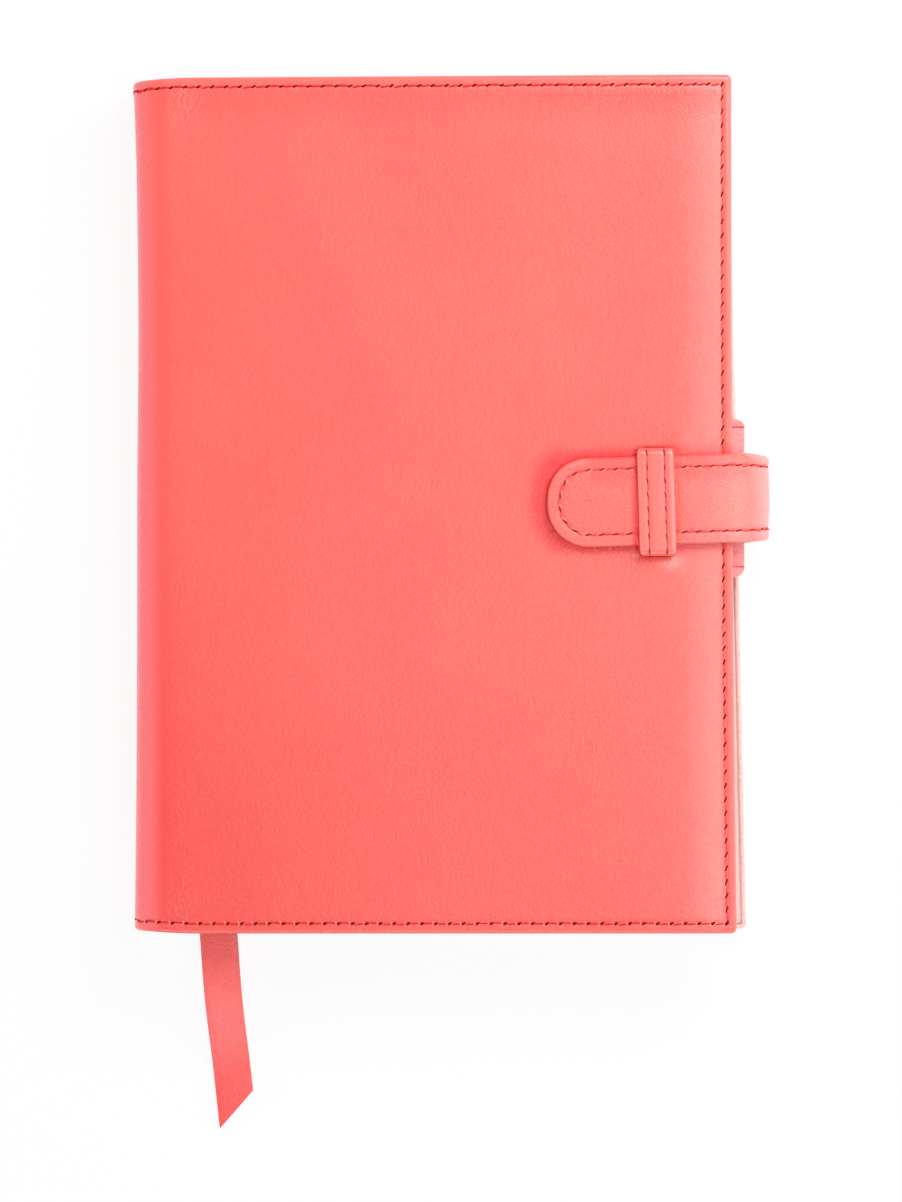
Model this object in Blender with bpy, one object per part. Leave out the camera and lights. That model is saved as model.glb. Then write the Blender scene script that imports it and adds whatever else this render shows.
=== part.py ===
# A leather notebook that lies closed on its back cover, in metres.
# X runs from the spine to the fore edge, Y to the head and Z up from the back cover's outside.

import math

import bmesh
import bpy

# Cover; its height and width follow from the refill's pages
SPINE_REACH = 0.0760  # origin to the outside of the spine
BACK_OVERHANG = 0.0027  # the back cover goes past the front cover by this much
SHOULDER_RADIUS = 0.0090  # outside radius where the panels turn into the spine
CORNER_RADIUS = 0.0030
EDGE_ROUND = 0.0008
SEAM_INSET = 0.0026  # edge to stitch line
SEAM_DIP = 0.00012
CROWN_SHARE = 0.6  # how much of the padding thins out towards the edges
CROWN_REACH = 0.0300

# Layers
LEATHER = 0.0011
PADDING = 0.0008
BOARD = 0.0012
LINING = 0.0005
CARD = 0.0006
POCKET = 0.0007
ENDPAPER = 0.0002
SECTION = 0.00087
SECTION_COUNT = 12
BOOKMARK = 0.0008
MULL = 0.0004

# Clearances
GLUE = 0.0001  # between layers that are stuck or sewn together
SLIP = 0.00015  # between layers that slide
FIT = 0.0003  # round a piece that passes through another
SPLIT = 0.0003  # between two lengths of one leather where it bends

# Pocket
POCKET_WIDTH = 0.0686  # front cover's fore edge to the side where the refill slides in
POCKET_RIM = 0.0014
POCKET_STEP = 0.0006

# Refill
PAGE_HEIGHT = 0.2100
PAGE_WIDTH = 0.1460
CARD_MARGIN = 0.0010  # the cards reach past the pages at head and tail
CARD_CORNER = 0.0040
CARD_END_CLEAR = 0.00065  # card to the pocket's step at head and tail
CARD_FORE_CLEAR = 0.0002  # and at the fore edge
CARD_HINGE = 0.0020  # sections' backs to the card's edge
PANEL_HINGE = 0.0010  # shoulder to the edge of the boards
BAND_RADIUS = 0.0006

# Strap and keeper
STRAP_WIDTH = 0.0224
STRAP_CENTRE = 0.0014  # in Y
STRAP_LEATHER = 0.0015
STRAP_LINING = 0.0012
STRAP_LENGTH = 0.0474  # front cover's fore edge to the end of the tongue
STRAP_LINING_INSET = 0.0002
STRAP_CLEAR = 0.00225  # pen loop to the inside of the wrap
STRAP_RISE = 0.0002  # front cover to the tongue
STRAP_EDGE_ROUND = 0.0005
UPPER_BEND = 0.0080
LOWER_BEND = 0.0050
ROOT_DEPTH = 0.0140  # how far the root goes into the back cover
ROOT_THICKNESS = 0.0016
ROOT_HEIGHT = 0.00235  # middle of the root
KEEPER_INSET = 0.0195  # front cover's fore edge to the middle of the keeper
KEEPER_WIDTH = 0.0096
KEEPER_THICKNESS = 0.0012
KEEPER_FLANGE = 0.0005
KEEPER_FLANGE_REACH = 0.0050
KEEPER_HEAD_ROOM = 0.0011  # strap to the keeper's leg on the head side
KEEPER_TAIL_ROOM = 0.0021
KEEPER_BEND = 0.0012
KEEPER_EDGE_ROUND = 0.0003

# Pen loop
LOOP_LENGTH = 0.0410
LOOP_CENTRE = 0.0018  # in Y
LOOP_WIDTH = 0.0070
LOOP_WALL = 0.0010
LOOP_SEAT = 0.0018
LOOP_BEND = 0.0032
LOOP_CLEAR = 0.0006  # pages to the loop

# Bookmark
BOOKMARK_WIDTH = 0.0098
BOOKMARK_TAIL = 0.0475  # how far its middle hangs out past the cover
BOOKMARK_SLANT = 0.0100  # one corner of its end is longer by this much
BOOKMARK_LEAN_HEAD_DEG = 0.92
BOOKMARK_LEAN_TAIL_DEG = 5.26
BOOKMARK_INSET = 0.0005  # head of the pages to the bookmark's fixed end
BOOKMARK_LEDGE = 0.0070  # flat length past the cover before it droops
BOOKMARK_REST = 0.0009  # height of its middle where it lies on the table

# Heights in one half of the stack, counted from the outside of the cover
PADDING_AT = LEATHER + GLUE
BOARD_AT = PADDING_AT + PADDING + GLUE
LINING_AT = BOARD_AT + BOARD + GLUE
RIM_AT = LINING_AT + LINING + GLUE
CARD_AT = LINING_AT + LINING + SLIP
POCKET_AT = CARD_AT + CARD + SLIP
ENDPAPER_AT = POCKET_AT + POCKET + SLIP
SECTIONS_AT = ENDPAPER_AT + ENDPAPER + GLUE
HALF_COUNT = SECTION_COUNT // 2
HALF_BLOCK = HALF_COUNT * SECTION + (HALF_COUNT - 1) * GLUE
BOOKMARK_AT = SECTIONS_AT + HALF_BLOCK + SLIP
THICKNESS = 2 * BOOKMARK_AT + BOOKMARK
CROWN = CROWN_SHARE * PADDING

# Places that several pieces share
SPINE_LINING_X = LEATHER + GLUE - SPINE_REACH
STRIP_X = SPINE_LINING_X + LINING + SLIP
MULL_X = STRIP_X + CARD + SLIP
PAGE_X = MULL_X + MULL + SLIP
PAGE_END = PAGE_X + PAGE_WIDTH
PAGE_HALF = PAGE_HEIGHT / 2
CARD_HALF = PAGE_HALF + CARD_MARGIN
POCKET_EDGE = POCKET_STEP + POCKET_RIM
INNER_HALF = CARD_HALF + CARD_END_CLEAR + POCKET_EDGE
HALF_HEIGHT = INNER_HALF + SLIP + LEATHER
FRONT_INNER = PAGE_END + CARD_FORE_CLEAR + POCKET_EDGE
FRONT_REACH = FRONT_INNER + SLIP + LEATHER
BACK_REACH = FRONT_REACH + BACK_OVERHANG
BACK_INNER = BACK_REACH - SLIP - LEATHER
SHOULDER_X = SHOULDER_RADIUS - SPINE_REACH
PANEL_X = SHOULDER_X + PANEL_HINGE
LOOP_X = PAGE_END + LOOP_CLEAR
STRAP_THICKNESS = STRAP_LEATHER + GLUE + STRAP_LINING
STRAP_MIDDLE = THICKNESS + STRAP_RISE + STRAP_THICKNESS / 2
WRAP_X = LOOP_X + LOOP_WIDTH + STRAP_CLEAR + STRAP_THICKNESS / 2
STRAP_TIP = FRONT_REACH - STRAP_LENGTH
KEEPER_CENTRE = FRONT_REACH - KEEPER_INSET
DIAGONAL = math.sqrt(0.5)
AXIS_INSET = SHOULDER_RADIUS * (1 - DIAGONAL)
FRONT_AXIS = (AXIS_INSET - SPINE_REACH, 0, THICKNESS - AXIS_INSET)
BACK_AXIS = (AXIS_INSET - SPINE_REACH, 0, AXIS_INSET)
LOWER_CENTRE = (WRAP_X - LOWER_BEND, ROOT_HEIGHT + LOWER_BEND)
UPPER_CENTRE = (WRAP_X - UPPER_BEND, STRAP_MIDDLE - UPPER_BEND)
LOWER_OUT = (LOWER_BEND + STRAP_THICKNESS / 2) * DIAGONAL
UPPER_OUT = (UPPER_BEND + STRAP_THICKNESS / 2) * DIAGONAL
ROOT_AXIS = (LOWER_CENTRE[0] + LOWER_OUT, STRAP_CENTRE, LOWER_CENTRE[1] - LOWER_OUT)
TONGUE_AXIS = (UPPER_CENTRE[0] + UPPER_OUT, STRAP_CENTRE, UPPER_CENTRE[1] + UPPER_OUT)
BOOKMARK_X = PAGE_X + SLIP + BOOKMARK_WIDTH / 2
BOOKMARK_HEAD = PAGE_HALF - BOOKMARK_INSET
BOOKMARK_AXIS = (BOOKMARK_X, BOOKMARK_HEAD, THICKNESS / 2)

for old in list(bpy.data.objects):
    bpy.data.objects.remove(old, do_unlink=True)


def make_material(name, colour, roughness, metallic=0.0):
    made = bpy.data.materials.new(name)
    made.use_nodes = True
    shader = made.node_tree.nodes["Principled BSDF"]
    shader.inputs["Base Color"].default_value = (*colour, 1)
    shader.inputs["Roughness"].default_value = roughness
    shader.inputs["Metallic"].default_value = metallic
    made.diffuse_color = (*colour, 1)
    return made


def make_axis(name, place):
    axis = bpy.data.objects.new(name, None)
    axis.empty_display_size = 0.01
    axis.location = place
    bpy.context.collection.objects.link(axis)
    return axis


def add_piece(name, bm, material, axis=None):
    """Turn a finished bmesh into a named object, hung on its joint axis if it moves."""
    bmesh.ops.recalc_face_normals(bm, faces=bm.faces)
    mesh = bpy.data.meshes.new(name)
    bm.to_mesh(mesh)
    bm.free()
    mesh.materials.append(material)
    piece = bpy.data.objects.new(name, mesh)
    bpy.context.collection.objects.link(piece)
    if axis:
        piece.parent = axis
        piece.location = [-v for v in axis.location]
    return piece


def soften(piece, width, segments=2, angle=50):
    """Round the sharp edges of a piece."""
    bevel = piece.modifiers.new("soft edges", "BEVEL")
    bevel.width = width
    bevel.segments = segments
    bevel.limit_method = "ANGLE"
    bevel.angle_limit = math.radians(angle)


def cut(piece, low, high):
    """Take a box out of a piece."""
    bm = bmesh.new()
    corners = [(low[0], low[1]), (high[0], low[1]), (high[0], high[1]), (low[0], high[1])]
    extrude_up(bm, corners, low[2], high[2])
    tool = add_piece(piece.name + "_cutter", bm, piece.data.materials[0])
    tool.hide_render = True
    tool.display_type = "WIRE"
    boolean = piece.modifiers.new("opening", "BOOLEAN")
    boolean.operation = "DIFFERENCE"
    boolean.solver = "EXACT"
    boolean.object = tool


def extrude_face(bm, points, step):
    """Draw a face through the points and pull it along a step."""
    face = bm.faces.new([bm.verts.new(p) for p in points])
    pulled = bmesh.ops.extrude_face_region(bm, geom=[face])
    moved = [v for v in pulled["geom"] if isinstance(v, bmesh.types.BMVert)]
    bmesh.ops.translate(bm, verts=moved, vec=step)


def extrude_up(bm, outline, low, high):
    extrude_face(bm, [(x, y, low) for x, y in outline], (0, 0, high - low))


def extrude_along(bm, profile, start, end):
    """Pull an XZ profile along Y."""
    extrude_face(bm, [(x, start, z) for x, z in profile], (0, end - start, 0))


def arc(centre, radius, start, end, steps):
    """Points on an arc, from one angle to another in degrees."""
    angles = [math.radians(start + (end - start) * i / steps) for i in range(steps + 1)]
    return [(centre[0] + radius * math.cos(a), centre[1] + radius * math.sin(a)) for a in angles]


def u_outline(spine, fore, half, radius):
    """Head edge, fore edge and tail edge of a panel, with rounded fore corners."""
    head = arc((fore - radius, half - radius), radius, 90, 0, 5)
    tail = [(x, -y) for x, y in reversed(head)]
    return [(spine, half)] + head + tail + [(spine, -half)]


def u_shell(spine, fore, half, radius, rings):
    """A solid with one open side at the spine. Its surface steps through rings of (inset, height),
    from the middle of one face round the turned edge to the middle of the other face."""
    bm = bmesh.new()
    loops = []
    for inset, height in rings:
        rounded = max(radius - inset, radius * 0.1)
        outline = u_outline(spine, fore - inset, half - inset, rounded)
        loops.append([bm.verts.new((x, y, height)) for x, y in outline])
    for one, two in zip(loops, loops[1:]):
        for i in range(len(one) - 1):
            bm.faces.new((one[i], one[i + 1], two[i + 1], two[i]))
    bm.faces.new(loops[0])
    bm.faces.new(loops[-1])
    bm.faces.new([loop[0] for loop in loops] + [loop[-1] for loop in reversed(loops)])
    return bm


def sheet(outer, inner):
    """A solid between two grids of points, closed round the rim."""
    bm = bmesh.new()
    sides = [[[bm.verts.new(p) for p in row] for row in grid] for grid in (outer, inner)]
    rows = len(outer)
    columns = len(outer[0])
    for side in sides:
        for i in range(rows - 1):
            for j in range(columns - 1):
                bm.faces.new((side[i][j], side[i + 1][j], side[i + 1][j + 1], side[i][j + 1]))
    around = [(i, 0) for i in range(rows)]
    around += [(rows - 1, j) for j in range(1, columns)]
    around += [(i, columns - 1) for i in range(rows - 2, -1, -1)]
    around += [(0, j) for j in range(columns - 2, 0, -1)]
    for (a, b), (c, d) in zip(around, around[1:] + around[:1]):
        bm.faces.new((sides[0][a][b], sides[0][c][d], sides[1][c][d], sides[1][a][b]))
    return bm


def crown_drop(inset):
    """How far the padded face falls towards its edges."""
    return CROWN * (1 - min(inset / CROWN_REACH, 1)) ** 2


def edge_drop(inset):
    """The round of a turned edge."""
    run = max(EDGE_ROUND - inset, 0)
    return EDGE_ROUND - math.sqrt(EDGE_ROUND**2 - run**2)


def face_insets():
    """Insets of the rings that draw a panel's face, from the edge inwards."""
    return [
        (0, 0),
        (EDGE_ROUND * 0.35, 0),
        (EDGE_ROUND, 0),
        (SEAM_INSET * 0.6, 0),
        (SEAM_INSET, SEAM_DIP),
        (SEAM_INSET * 1.6, 0),
        (CROWN_REACH * 0.3, 0),
        (CROWN_REACH * 0.6, 0),
        (CROWN_REACH, 0),
    ]


def add_panel_leather(name, fore, crowned, material, axis=None):
    """The outer leather of one cover: a tray whose walls close its head, fore edge and tail."""
    crown = crown_drop if crowned else (lambda inset: 0)
    rings = [(d, crown(d) + edge_drop(d) + dip) for d, dip in reversed(face_insets())]
    rings += [(0, RIM_AT + POCKET), (LEATHER, RIM_AT + POCKET)]
    rings += [(d, LEATHER + crown(d)) for d in (LEATHER, CROWN_REACH * 0.3, CROWN_REACH * 0.6, CROWN_REACH)]
    if crowned:
        rings = [(d, THICKNESS - z) for d, z in rings]
    start = SHOULDER_X + SPLIT / 2
    return add_piece(name, u_shell(start, fore, HALF_HEIGHT, CORNER_RADIUS, rings), material, axis)


def spine_stations():
    """Places along the spine with their inset from the nearer end."""
    insets = [d for d, dip in face_insets()]
    return [(HALF_HEIGHT - d, d) for d in insets] + [(d - HALF_HEIGHT, d) for d in reversed(insets)]


def add_joint_leather(name, front, material, axis):
    """The quarter round of leather between a panel and the spine."""
    spread = math.degrees(SPLIT / 2 / SHOULDER_RADIUS)
    outer = []
    inner = []
    for i in range(7):
        share = i / 6
        angle = math.radians(90 + spread + (90 - 2 * spread) * share)
        rows = ([], [])
        for y, inset in spine_stations():
            crown = crown_drop(inset) * (1 - share) if front else 0
            radius = SHOULDER_RADIUS - crown
            for row, r in zip(rows, (radius - edge_drop(inset), radius - LEATHER)):
                x = SHOULDER_X + r * math.cos(angle)
                z = SHOULDER_RADIUS - r * math.sin(angle)
                row.append((x, y, THICKNESS - z if front else z))
        outer.append(rows[0])
        inner.append(rows[1])
    return add_piece(name, sheet(outer, inner), material, axis)


def add_spine_leather(material, axis):
    low = SHOULDER_RADIUS + SPLIT / 2
    rows = ([], [])
    for z in (low, THICKNESS - low):
        rows[0].append([(edge_drop(d) - SPINE_REACH, y, z) for y, d in spine_stations()])
        rows[1].append([(LEATHER - SPINE_REACH, y, z) for y, d in spine_stations()])
    return add_piece("spine_leather", sheet(*rows), material, axis)


def add_slab(name, front, spine, fore, half, radius, at, thickness, material, axis=None):
    """A flat layer with rounded fore corners, counted from the outside of its own cover."""
    low = THICKNESS - at - thickness if front else at
    bm = bmesh.new()
    extrude_up(bm, u_outline(spine, fore, half, radius), low, low + thickness)
    return add_piece(name, bm, material, axis)


def add_padding(name, front, fore, material, axis=None):
    """The foam under the leather; the front one is domed."""
    inset = LEATHER + SLIP
    crown = crown_drop if front else (lambda d: 0)
    tops = [0, CROWN_REACH * 0.3 - inset, CROWN_REACH * 0.6 - inset, CROWN_REACH - inset]
    rings = [(d, PADDING_AT + crown(d + inset)) for d in reversed(tops)]
    rings.append((0, PADDING_AT + PADDING))
    if front:
        rings = [(d, THICKNESS - z) for d, z in rings]
    bm = u_shell(PANEL_X, fore - inset, INNER_HALF, CORNER_RADIUS - LEATHER, rings)
    return add_piece(name, bm, material, axis)


def add_pocket(name, front, material, axis=None):
    """A flap whose rim is sewn to the lining on three sides and which rises over the refill's card."""
    rings = [
        (POCKET_EDGE, POCKET_AT + POCKET),
        (POCKET_RIM, RIM_AT + POCKET),
        (0, RIM_AT + POCKET),
        (0, RIM_AT),
        (POCKET_RIM, RIM_AT),
        (POCKET_EDGE, POCKET_AT),
    ]
    if front:
        rings = [(d, THICKNESS - z) for d, z in rings]
    bm = u_shell(FRONT_REACH - POCKET_WIDTH, FRONT_INNER, INNER_HALF, CORNER_RADIUS - LEATHER, rings)
    return add_piece(name, bm, material, axis)


def add_section(number, material, axis):
    """Folded leaves: a round fold at the spine and a trimmed fore edge."""
    low = SECTIONS_AT + (number - 1) * (SECTION + GLUE)
    if number > HALF_COUNT:
        low += BOOKMARK + 2 * SLIP - GLUE
    top = THICKNESS - low
    middle = top - SECTION / 2
    fold = arc((PAGE_X + SECTION / 2, middle), SECTION / 2, 90, 270, 6)
    bm = bmesh.new()
    extrude_along(bm, fold + [(PAGE_END, top - SECTION), (PAGE_END, top)], -PAGE_HALF, PAGE_HALF)
    return add_piece(f"section_{number:02d}", bm, material, axis)


def add_endpaper(name, front, material, axis):
    bm = bmesh.new()
    low = THICKNESS - ENDPAPER_AT - ENDPAPER if front else ENDPAPER_AT
    outline = [(PAGE_X, -PAGE_HALF), (PAGE_END, -PAGE_HALF), (PAGE_END, PAGE_HALF), (PAGE_X, PAGE_HALF)]
    extrude_up(bm, outline, low, low + ENDPAPER)
    return add_piece(name, bm, material, axis)


def add_spine_layer(name, x, thickness, low, half, material, axis):
    """A flat strip that stands behind the backs of the sections."""
    bm = bmesh.new()
    profile = [(x, low), (x + thickness, low), (x + thickness, THICKNESS - low), (x, THICKNESS - low)]
    extrude_along(bm, profile, -half, half)
    return add_piece(name, bm, material, axis)


def add_band(name, side, material, axis):
    """The rolled band at one end of the sections' backs."""
    bm = bmesh.new()
    centre = (PAGE_X + BAND_RADIUS, side * (PAGE_HALF + SLIP + BAND_RADIUS))
    extrude_up(bm, arc(centre, BAND_RADIUS, 0, 330, 11), SECTIONS_AT, THICKNESS - SECTIONS_AT)
    return add_piece(name, bm, material, axis)


def add_ribbon(name, stations, material, axis=None):
    """A strip with rounded edges that runs through stations.
    Each one gives its middle (x, z), its normal, its half width and its thickness."""
    bm = bmesh.new()
    loops = []
    for (x, z), (nx, nz), half, thickness in stations:
        soft = min(STRAP_EDGE_ROUND, thickness * 0.4, half * 0.4)
        flat = half - soft
        level = thickness / 2 - soft
        ring = []
        for corner in ((flat, level, 90, 0), (flat, -level, 0, -90), (-flat, -level, 270, 180), (-flat, level, 180, 90)):
            ring += arc(corner[:2], soft, corner[2], corner[3], 2)
        loops.append([bm.verts.new((x + nx * h, STRAP_CENTRE + y, z + nz * h)) for y, h in ring])
    for one, two in zip(loops, loops[1:]):
        for i in range(len(one)):
            k = (i + 1) % len(one)
            bm.faces.new((one[i], one[k], two[k], two[i]))
    bm.faces.new(loops[0])
    bm.faces.new(loops[-1])
    return add_piece(name, bm, material, axis)


def bend_stations(centre, radius, start, end, offset, thickness):
    """Stations round one bend of the strap, for a layer at an offset from its middle."""
    spots = arc(centre, radius + offset, start, end, 5)
    normals = arc((0, 0), 1, start, end, 5)
    return [(spot, normal, STRAP_WIDTH / 2, thickness) for spot, normal in zip(spots, normals)]


def split_angle(radius):
    return math.degrees(SPLIT / 2 / radius)


def add_strap_wrap(name, offset, thickness, material, axis):
    """One layer of the strap from the lower bend up round the fore edge."""
    lower = bend_stations(LOWER_CENTRE, LOWER_BEND, -45 + split_angle(LOWER_BEND), 0, offset, thickness)
    upper = bend_stations(UPPER_CENTRE, UPPER_BEND, 0, 45 - split_angle(UPPER_BEND), offset, thickness)
    return add_ribbon(name, lower + upper, material, axis)


def add_strap_tongue(name, offset, thickness, shorter, material, axis):
    """One layer of the strap from the upper bend to the round tip."""
    stations = bend_stations(UPPER_CENTRE, UPPER_BEND, 45 + split_angle(UPPER_BEND), 90, offset, thickness)
    half = STRAP_WIDTH / 2
    for i in range(12):
        turn = math.radians(84 * i / 11)
        spot = (STRAP_TIP + half - (half - shorter) * math.sin(turn), STRAP_MIDDLE + offset)
        stations.append((spot, (0, 1), (half - shorter) * math.cos(turn), thickness))
    return add_ribbon(name, stations, material, axis)


def add_strap_root(material):
    """The thinned end of the strap inside the back cover and the first half of its lower bend."""
    half = STRAP_WIDTH / 2
    start = BACK_REACH - LEATHER - ROOT_DEPTH
    stations = [((x, ROOT_HEIGHT), (0, -1), half, ROOT_THICKNESS) for x in (start, BACK_REACH - LEATHER)]
    angles = (-90, -75, -60, -45 - split_angle(LOWER_BEND))
    for i, angle in enumerate(angles):
        thickness = ROOT_THICKNESS + (STRAP_THICKNESS - ROOT_THICKNESS) * (i + 1) / len(angles)
        spot = arc(LOWER_CENTRE, LOWER_BEND, angle, angle, 1)[0]
        stations.append((spot, arc((0, 0), 1, angle, angle, 1)[0], half, thickness))
    return add_ribbon("strap_root", stations, material)


def add_keeper(material, axis):
    """A band over the tongue; its legs go through the front leather and turn out under it."""
    head = STRAP_CENTRE + STRAP_WIDTH / 2 + KEEPER_HEAD_ROOM
    tail = STRAP_CENTRE - STRAP_WIDTH / 2 - KEEPER_TAIL_ROOM
    under = STRAP_MIDDLE + STRAP_THICKNESS / 2 + SLIP
    top = under + KEEPER_THICKNESS
    ceiling = THICKNESS - PADDING_AT - crown_drop(CROWN_REACH * 0.3)
    floor = ceiling - KEEPER_FLANGE
    wide = KEEPER_BEND + KEEPER_THICKNESS
    reach = KEEPER_THICKNESS + KEEPER_FLANGE_REACH
    outside = [(head + reach, floor), (head + reach, ceiling), (head + KEEPER_THICKNESS, ceiling)]
    outside += arc((head - KEEPER_BEND, top - wide), wide, 0, 90, 5)
    outside += arc((tail + KEEPER_BEND, top - wide), wide, 90, 180, 5)
    outside += [(tail - KEEPER_THICKNESS, ceiling), (tail - reach, ceiling), (tail - reach, floor)]
    inside = [(tail, floor)] + arc((tail + KEEPER_BEND, under - KEEPER_BEND), KEEPER_BEND, 180, 90, 5)
    inside += arc((head - KEEPER_BEND, under - KEEPER_BEND), KEEPER_BEND, 90, 0, 5) + [(head, floor)]
    bm = bmesh.new()
    low = KEEPER_CENTRE - KEEPER_WIDTH / 2
    extrude_face(bm, [(low, y, z) for y, z in outside + inside], (KEEPER_WIDTH, 0, 0))
    return add_piece("keeper", bm, material, axis), head, tail


def add_pen_loop(material):
    """A flattened tube of leather on a doubled seat."""
    seat = RIM_AT + POCKET + SLIP
    height = THICKNESS - 2 * seat
    outside = rounded_box(LOOP_X, seat, LOOP_WIDTH, height, LOOP_BEND)
    inner_width = LOOP_WIDTH - 2 * LOOP_WALL
    inner_height = height - LOOP_WALL - LOOP_SEAT
    inside = rounded_box(LOOP_X + LOOP_WALL, seat + LOOP_SEAT, inner_width, inner_height, LOOP_BEND - LOOP_WALL)
    bm = bmesh.new()
    loops = []
    for y in (LOOP_CENTRE - LOOP_LENGTH / 2, LOOP_CENTRE + LOOP_LENGTH / 2):
        loops.append([[bm.verts.new((x, y, z)) for x, z in line] for line in (outside, inside)])
    count = len(outside)
    near, far = loops
    for i in range(count):
        k = (i + 1) % count
        bm.faces.new((near[0][i], near[0][k], near[1][k], near[1][i]))
        bm.faces.new((far[0][i], far[0][k], far[1][k], far[1][i]))
        bm.faces.new((near[0][i], near[0][k], far[0][k], far[0][i]))
        bm.faces.new((near[1][i], near[1][k], far[1][k], far[1][i]))
    return add_piece("pen_loop", bm, material)


def rounded_box(x, z, width, height, radius):
    points = []
    for cx, cz, start in (
        (x + width - radius, z + radius, -90),
        (x + width - radius, z + height - radius, 0),
        (x + radius, z + height - radius, 90),
        (x + radius, z + radius, 180),
    ):
        points += arc((cx, cz), radius, start, start + 90, 5)
    return points


def bookmark_side(run):
    """Sideways shift of the bookmark after a run from the head."""
    head = math.tan(math.radians(BOOKMARK_LEAN_HEAD_DEG))
    tail = math.tan(math.radians(BOOKMARK_LEAN_TAIL_DEG))
    return head * run + (tail - head) / (BOOKMARK_HEAD + HALF_HEIGHT) / 2 * run**2


def bookmark_height(y):
    """Middle of the bookmark: level between the leaves, then a soft fall to the table."""
    start = -HALF_HEIGHT - BOOKMARK_LEDGE
    end = -HALF_HEIGHT - BOOKMARK_TAIL * 0.85
    share = min(max((start - y) / (start - end), 0), 1)
    fall = share * share * (3 - 2 * share)
    return THICKNESS / 2 + (BOOKMARK_REST - THICKNESS / 2) * fall


def add_bookmark(material, axis):
    """A leather strip that leans towards the fore edge and ends in a slanted cut."""
    middle_end = -HALF_HEIGHT - BOOKMARK_TAIL
    grids = ([], [])
    stations = [BOOKMARK_HEAD + (-HALF_HEIGHT - BOOKMARK_HEAD) * i / 8 for i in range(9)]
    stations += [-HALF_HEIGHT + (middle_end + HALF_HEIGHT) * (i + 1) / 10 for i in range(10)]
    for y in stations:
        past = max(-HALF_HEIGHT - y, 0) / BOOKMARK_TAIL
        rows = ([], [])
        for side in (-1, 1):
            along = y + side * BOOKMARK_SLANT / 2 * past
            x = BOOKMARK_X + bookmark_side(BOOKMARK_HEAD - along) + side * BOOKMARK_WIDTH / 2
            z = bookmark_height(along)
            rows[0].append((x, along, z + BOOKMARK / 2))
            rows[1].append((x, along, z - BOOKMARK / 2))
        grids[0].append(rows[0])
        grids[1].append(rows[1])
    return add_piece("bookmark", sheet(*grids), material, axis)


# Colours by eye from the photo
cover_leather = make_material("cover_leather", (0.84, 0.16, 0.135), 0.45)
strap_leather = make_material("strap_leather", (0.82, 0.18, 0.15), 0.45)
marker_leather = make_material("marker_leather", (0.80, 0.17, 0.145), 0.5)
lining_cloth = make_material("lining_cloth", (0.78, 0.33, 0.29), 0.8)
foam = make_material("foam", (0.85, 0.83, 0.78), 0.95)
grey_board = make_material("grey_board", (0.36, 0.33, 0.30), 0.9)
refill_card = make_material("refill_card", (0.80, 0.74, 0.64), 0.8)
paper = make_material("paper", (0.90, 0.88, 0.82), 0.9)
mull_cloth = make_material("mull_cloth", (0.82, 0.80, 0.74), 0.95)
band_thread = make_material("band_thread", (0.86, 0.40, 0.36), 0.7)

front_axis = make_axis("front_axis", FRONT_AXIS)
back_axis = make_axis("back_axis", BACK_AXIS)
root_axis = make_axis("strap_root_axis", ROOT_AXIS)
tongue_axis = make_axis("strap_tongue_axis", TONGUE_AXIS)
marker_axis = make_axis("bookmark_axis", BOOKMARK_AXIS)

# Front cover
front_leather = add_panel_leather("front_leather", FRONT_REACH, True, cover_leather, front_axis)
front_padding = add_padding("front_padding", True, FRONT_REACH, foam, front_axis)
inner_corner = CORNER_RADIUS - LEATHER
add_slab("front_board", True, PANEL_X, FRONT_INNER, INNER_HALF, inner_corner, BOARD_AT, BOARD, grey_board, front_axis)
add_slab("front_lining", True, PANEL_X, FRONT_INNER, INNER_HALF, inner_corner, LINING_AT, LINING, lining_cloth, front_axis)
add_pocket("front_pocket", True, lining_cloth, front_axis)
keeper, keeper_head, keeper_tail = add_keeper(strap_leather, front_axis)
soften(keeper, KEEPER_EDGE_ROUND)
for leg, outward in ((keeper_head, 1), (keeper_tail, -1)):
    ends = sorted((leg - outward * FIT, leg + outward * (KEEPER_THICKNESS + FIT)))
    flange = sorted((leg - outward * FIT, leg + outward * (KEEPER_THICKNESS + KEEPER_FLANGE_REACH + FIT)))
    sides = (KEEPER_CENTRE - KEEPER_WIDTH / 2 - FIT, KEEPER_CENTRE + KEEPER_WIDTH / 2 + FIT)
    cut(front_leather, (sides[0], ends[0], THICKNESS - BOARD_AT), (sides[1], ends[1], THICKNESS + FIT))
    cut(front_padding, (sides[0], flange[0], THICKNESS - BOARD_AT), (sides[1], flange[1], THICKNESS))

# Spine
add_joint_leather("front_joint_leather", True, cover_leather, front_axis)
add_joint_leather("back_joint_leather", False, cover_leather, back_axis)
add_spine_leather(cover_leather, back_axis)
lining_low = SHOULDER_RADIUS + SPLIT
add_spine_layer("spine_lining", SPINE_LINING_X, LINING, lining_low, INNER_HALF, lining_cloth, back_axis)

# Back cover
back_leather = add_panel_leather("back_leather", BACK_REACH, False, cover_leather)
back_padding = add_padding("back_padding", False, BACK_REACH, foam)
back_board = add_slab("back_board", False, PANEL_X, BACK_INNER, INNER_HALF, inner_corner, BOARD_AT, BOARD, grey_board)
add_slab("back_lining", False, PANEL_X, BACK_INNER, INNER_HALF, inner_corner, LINING_AT, LINING, lining_cloth)
add_pocket("back_pocket", False, lining_cloth)
add_pen_loop(strap_leather)

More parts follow.
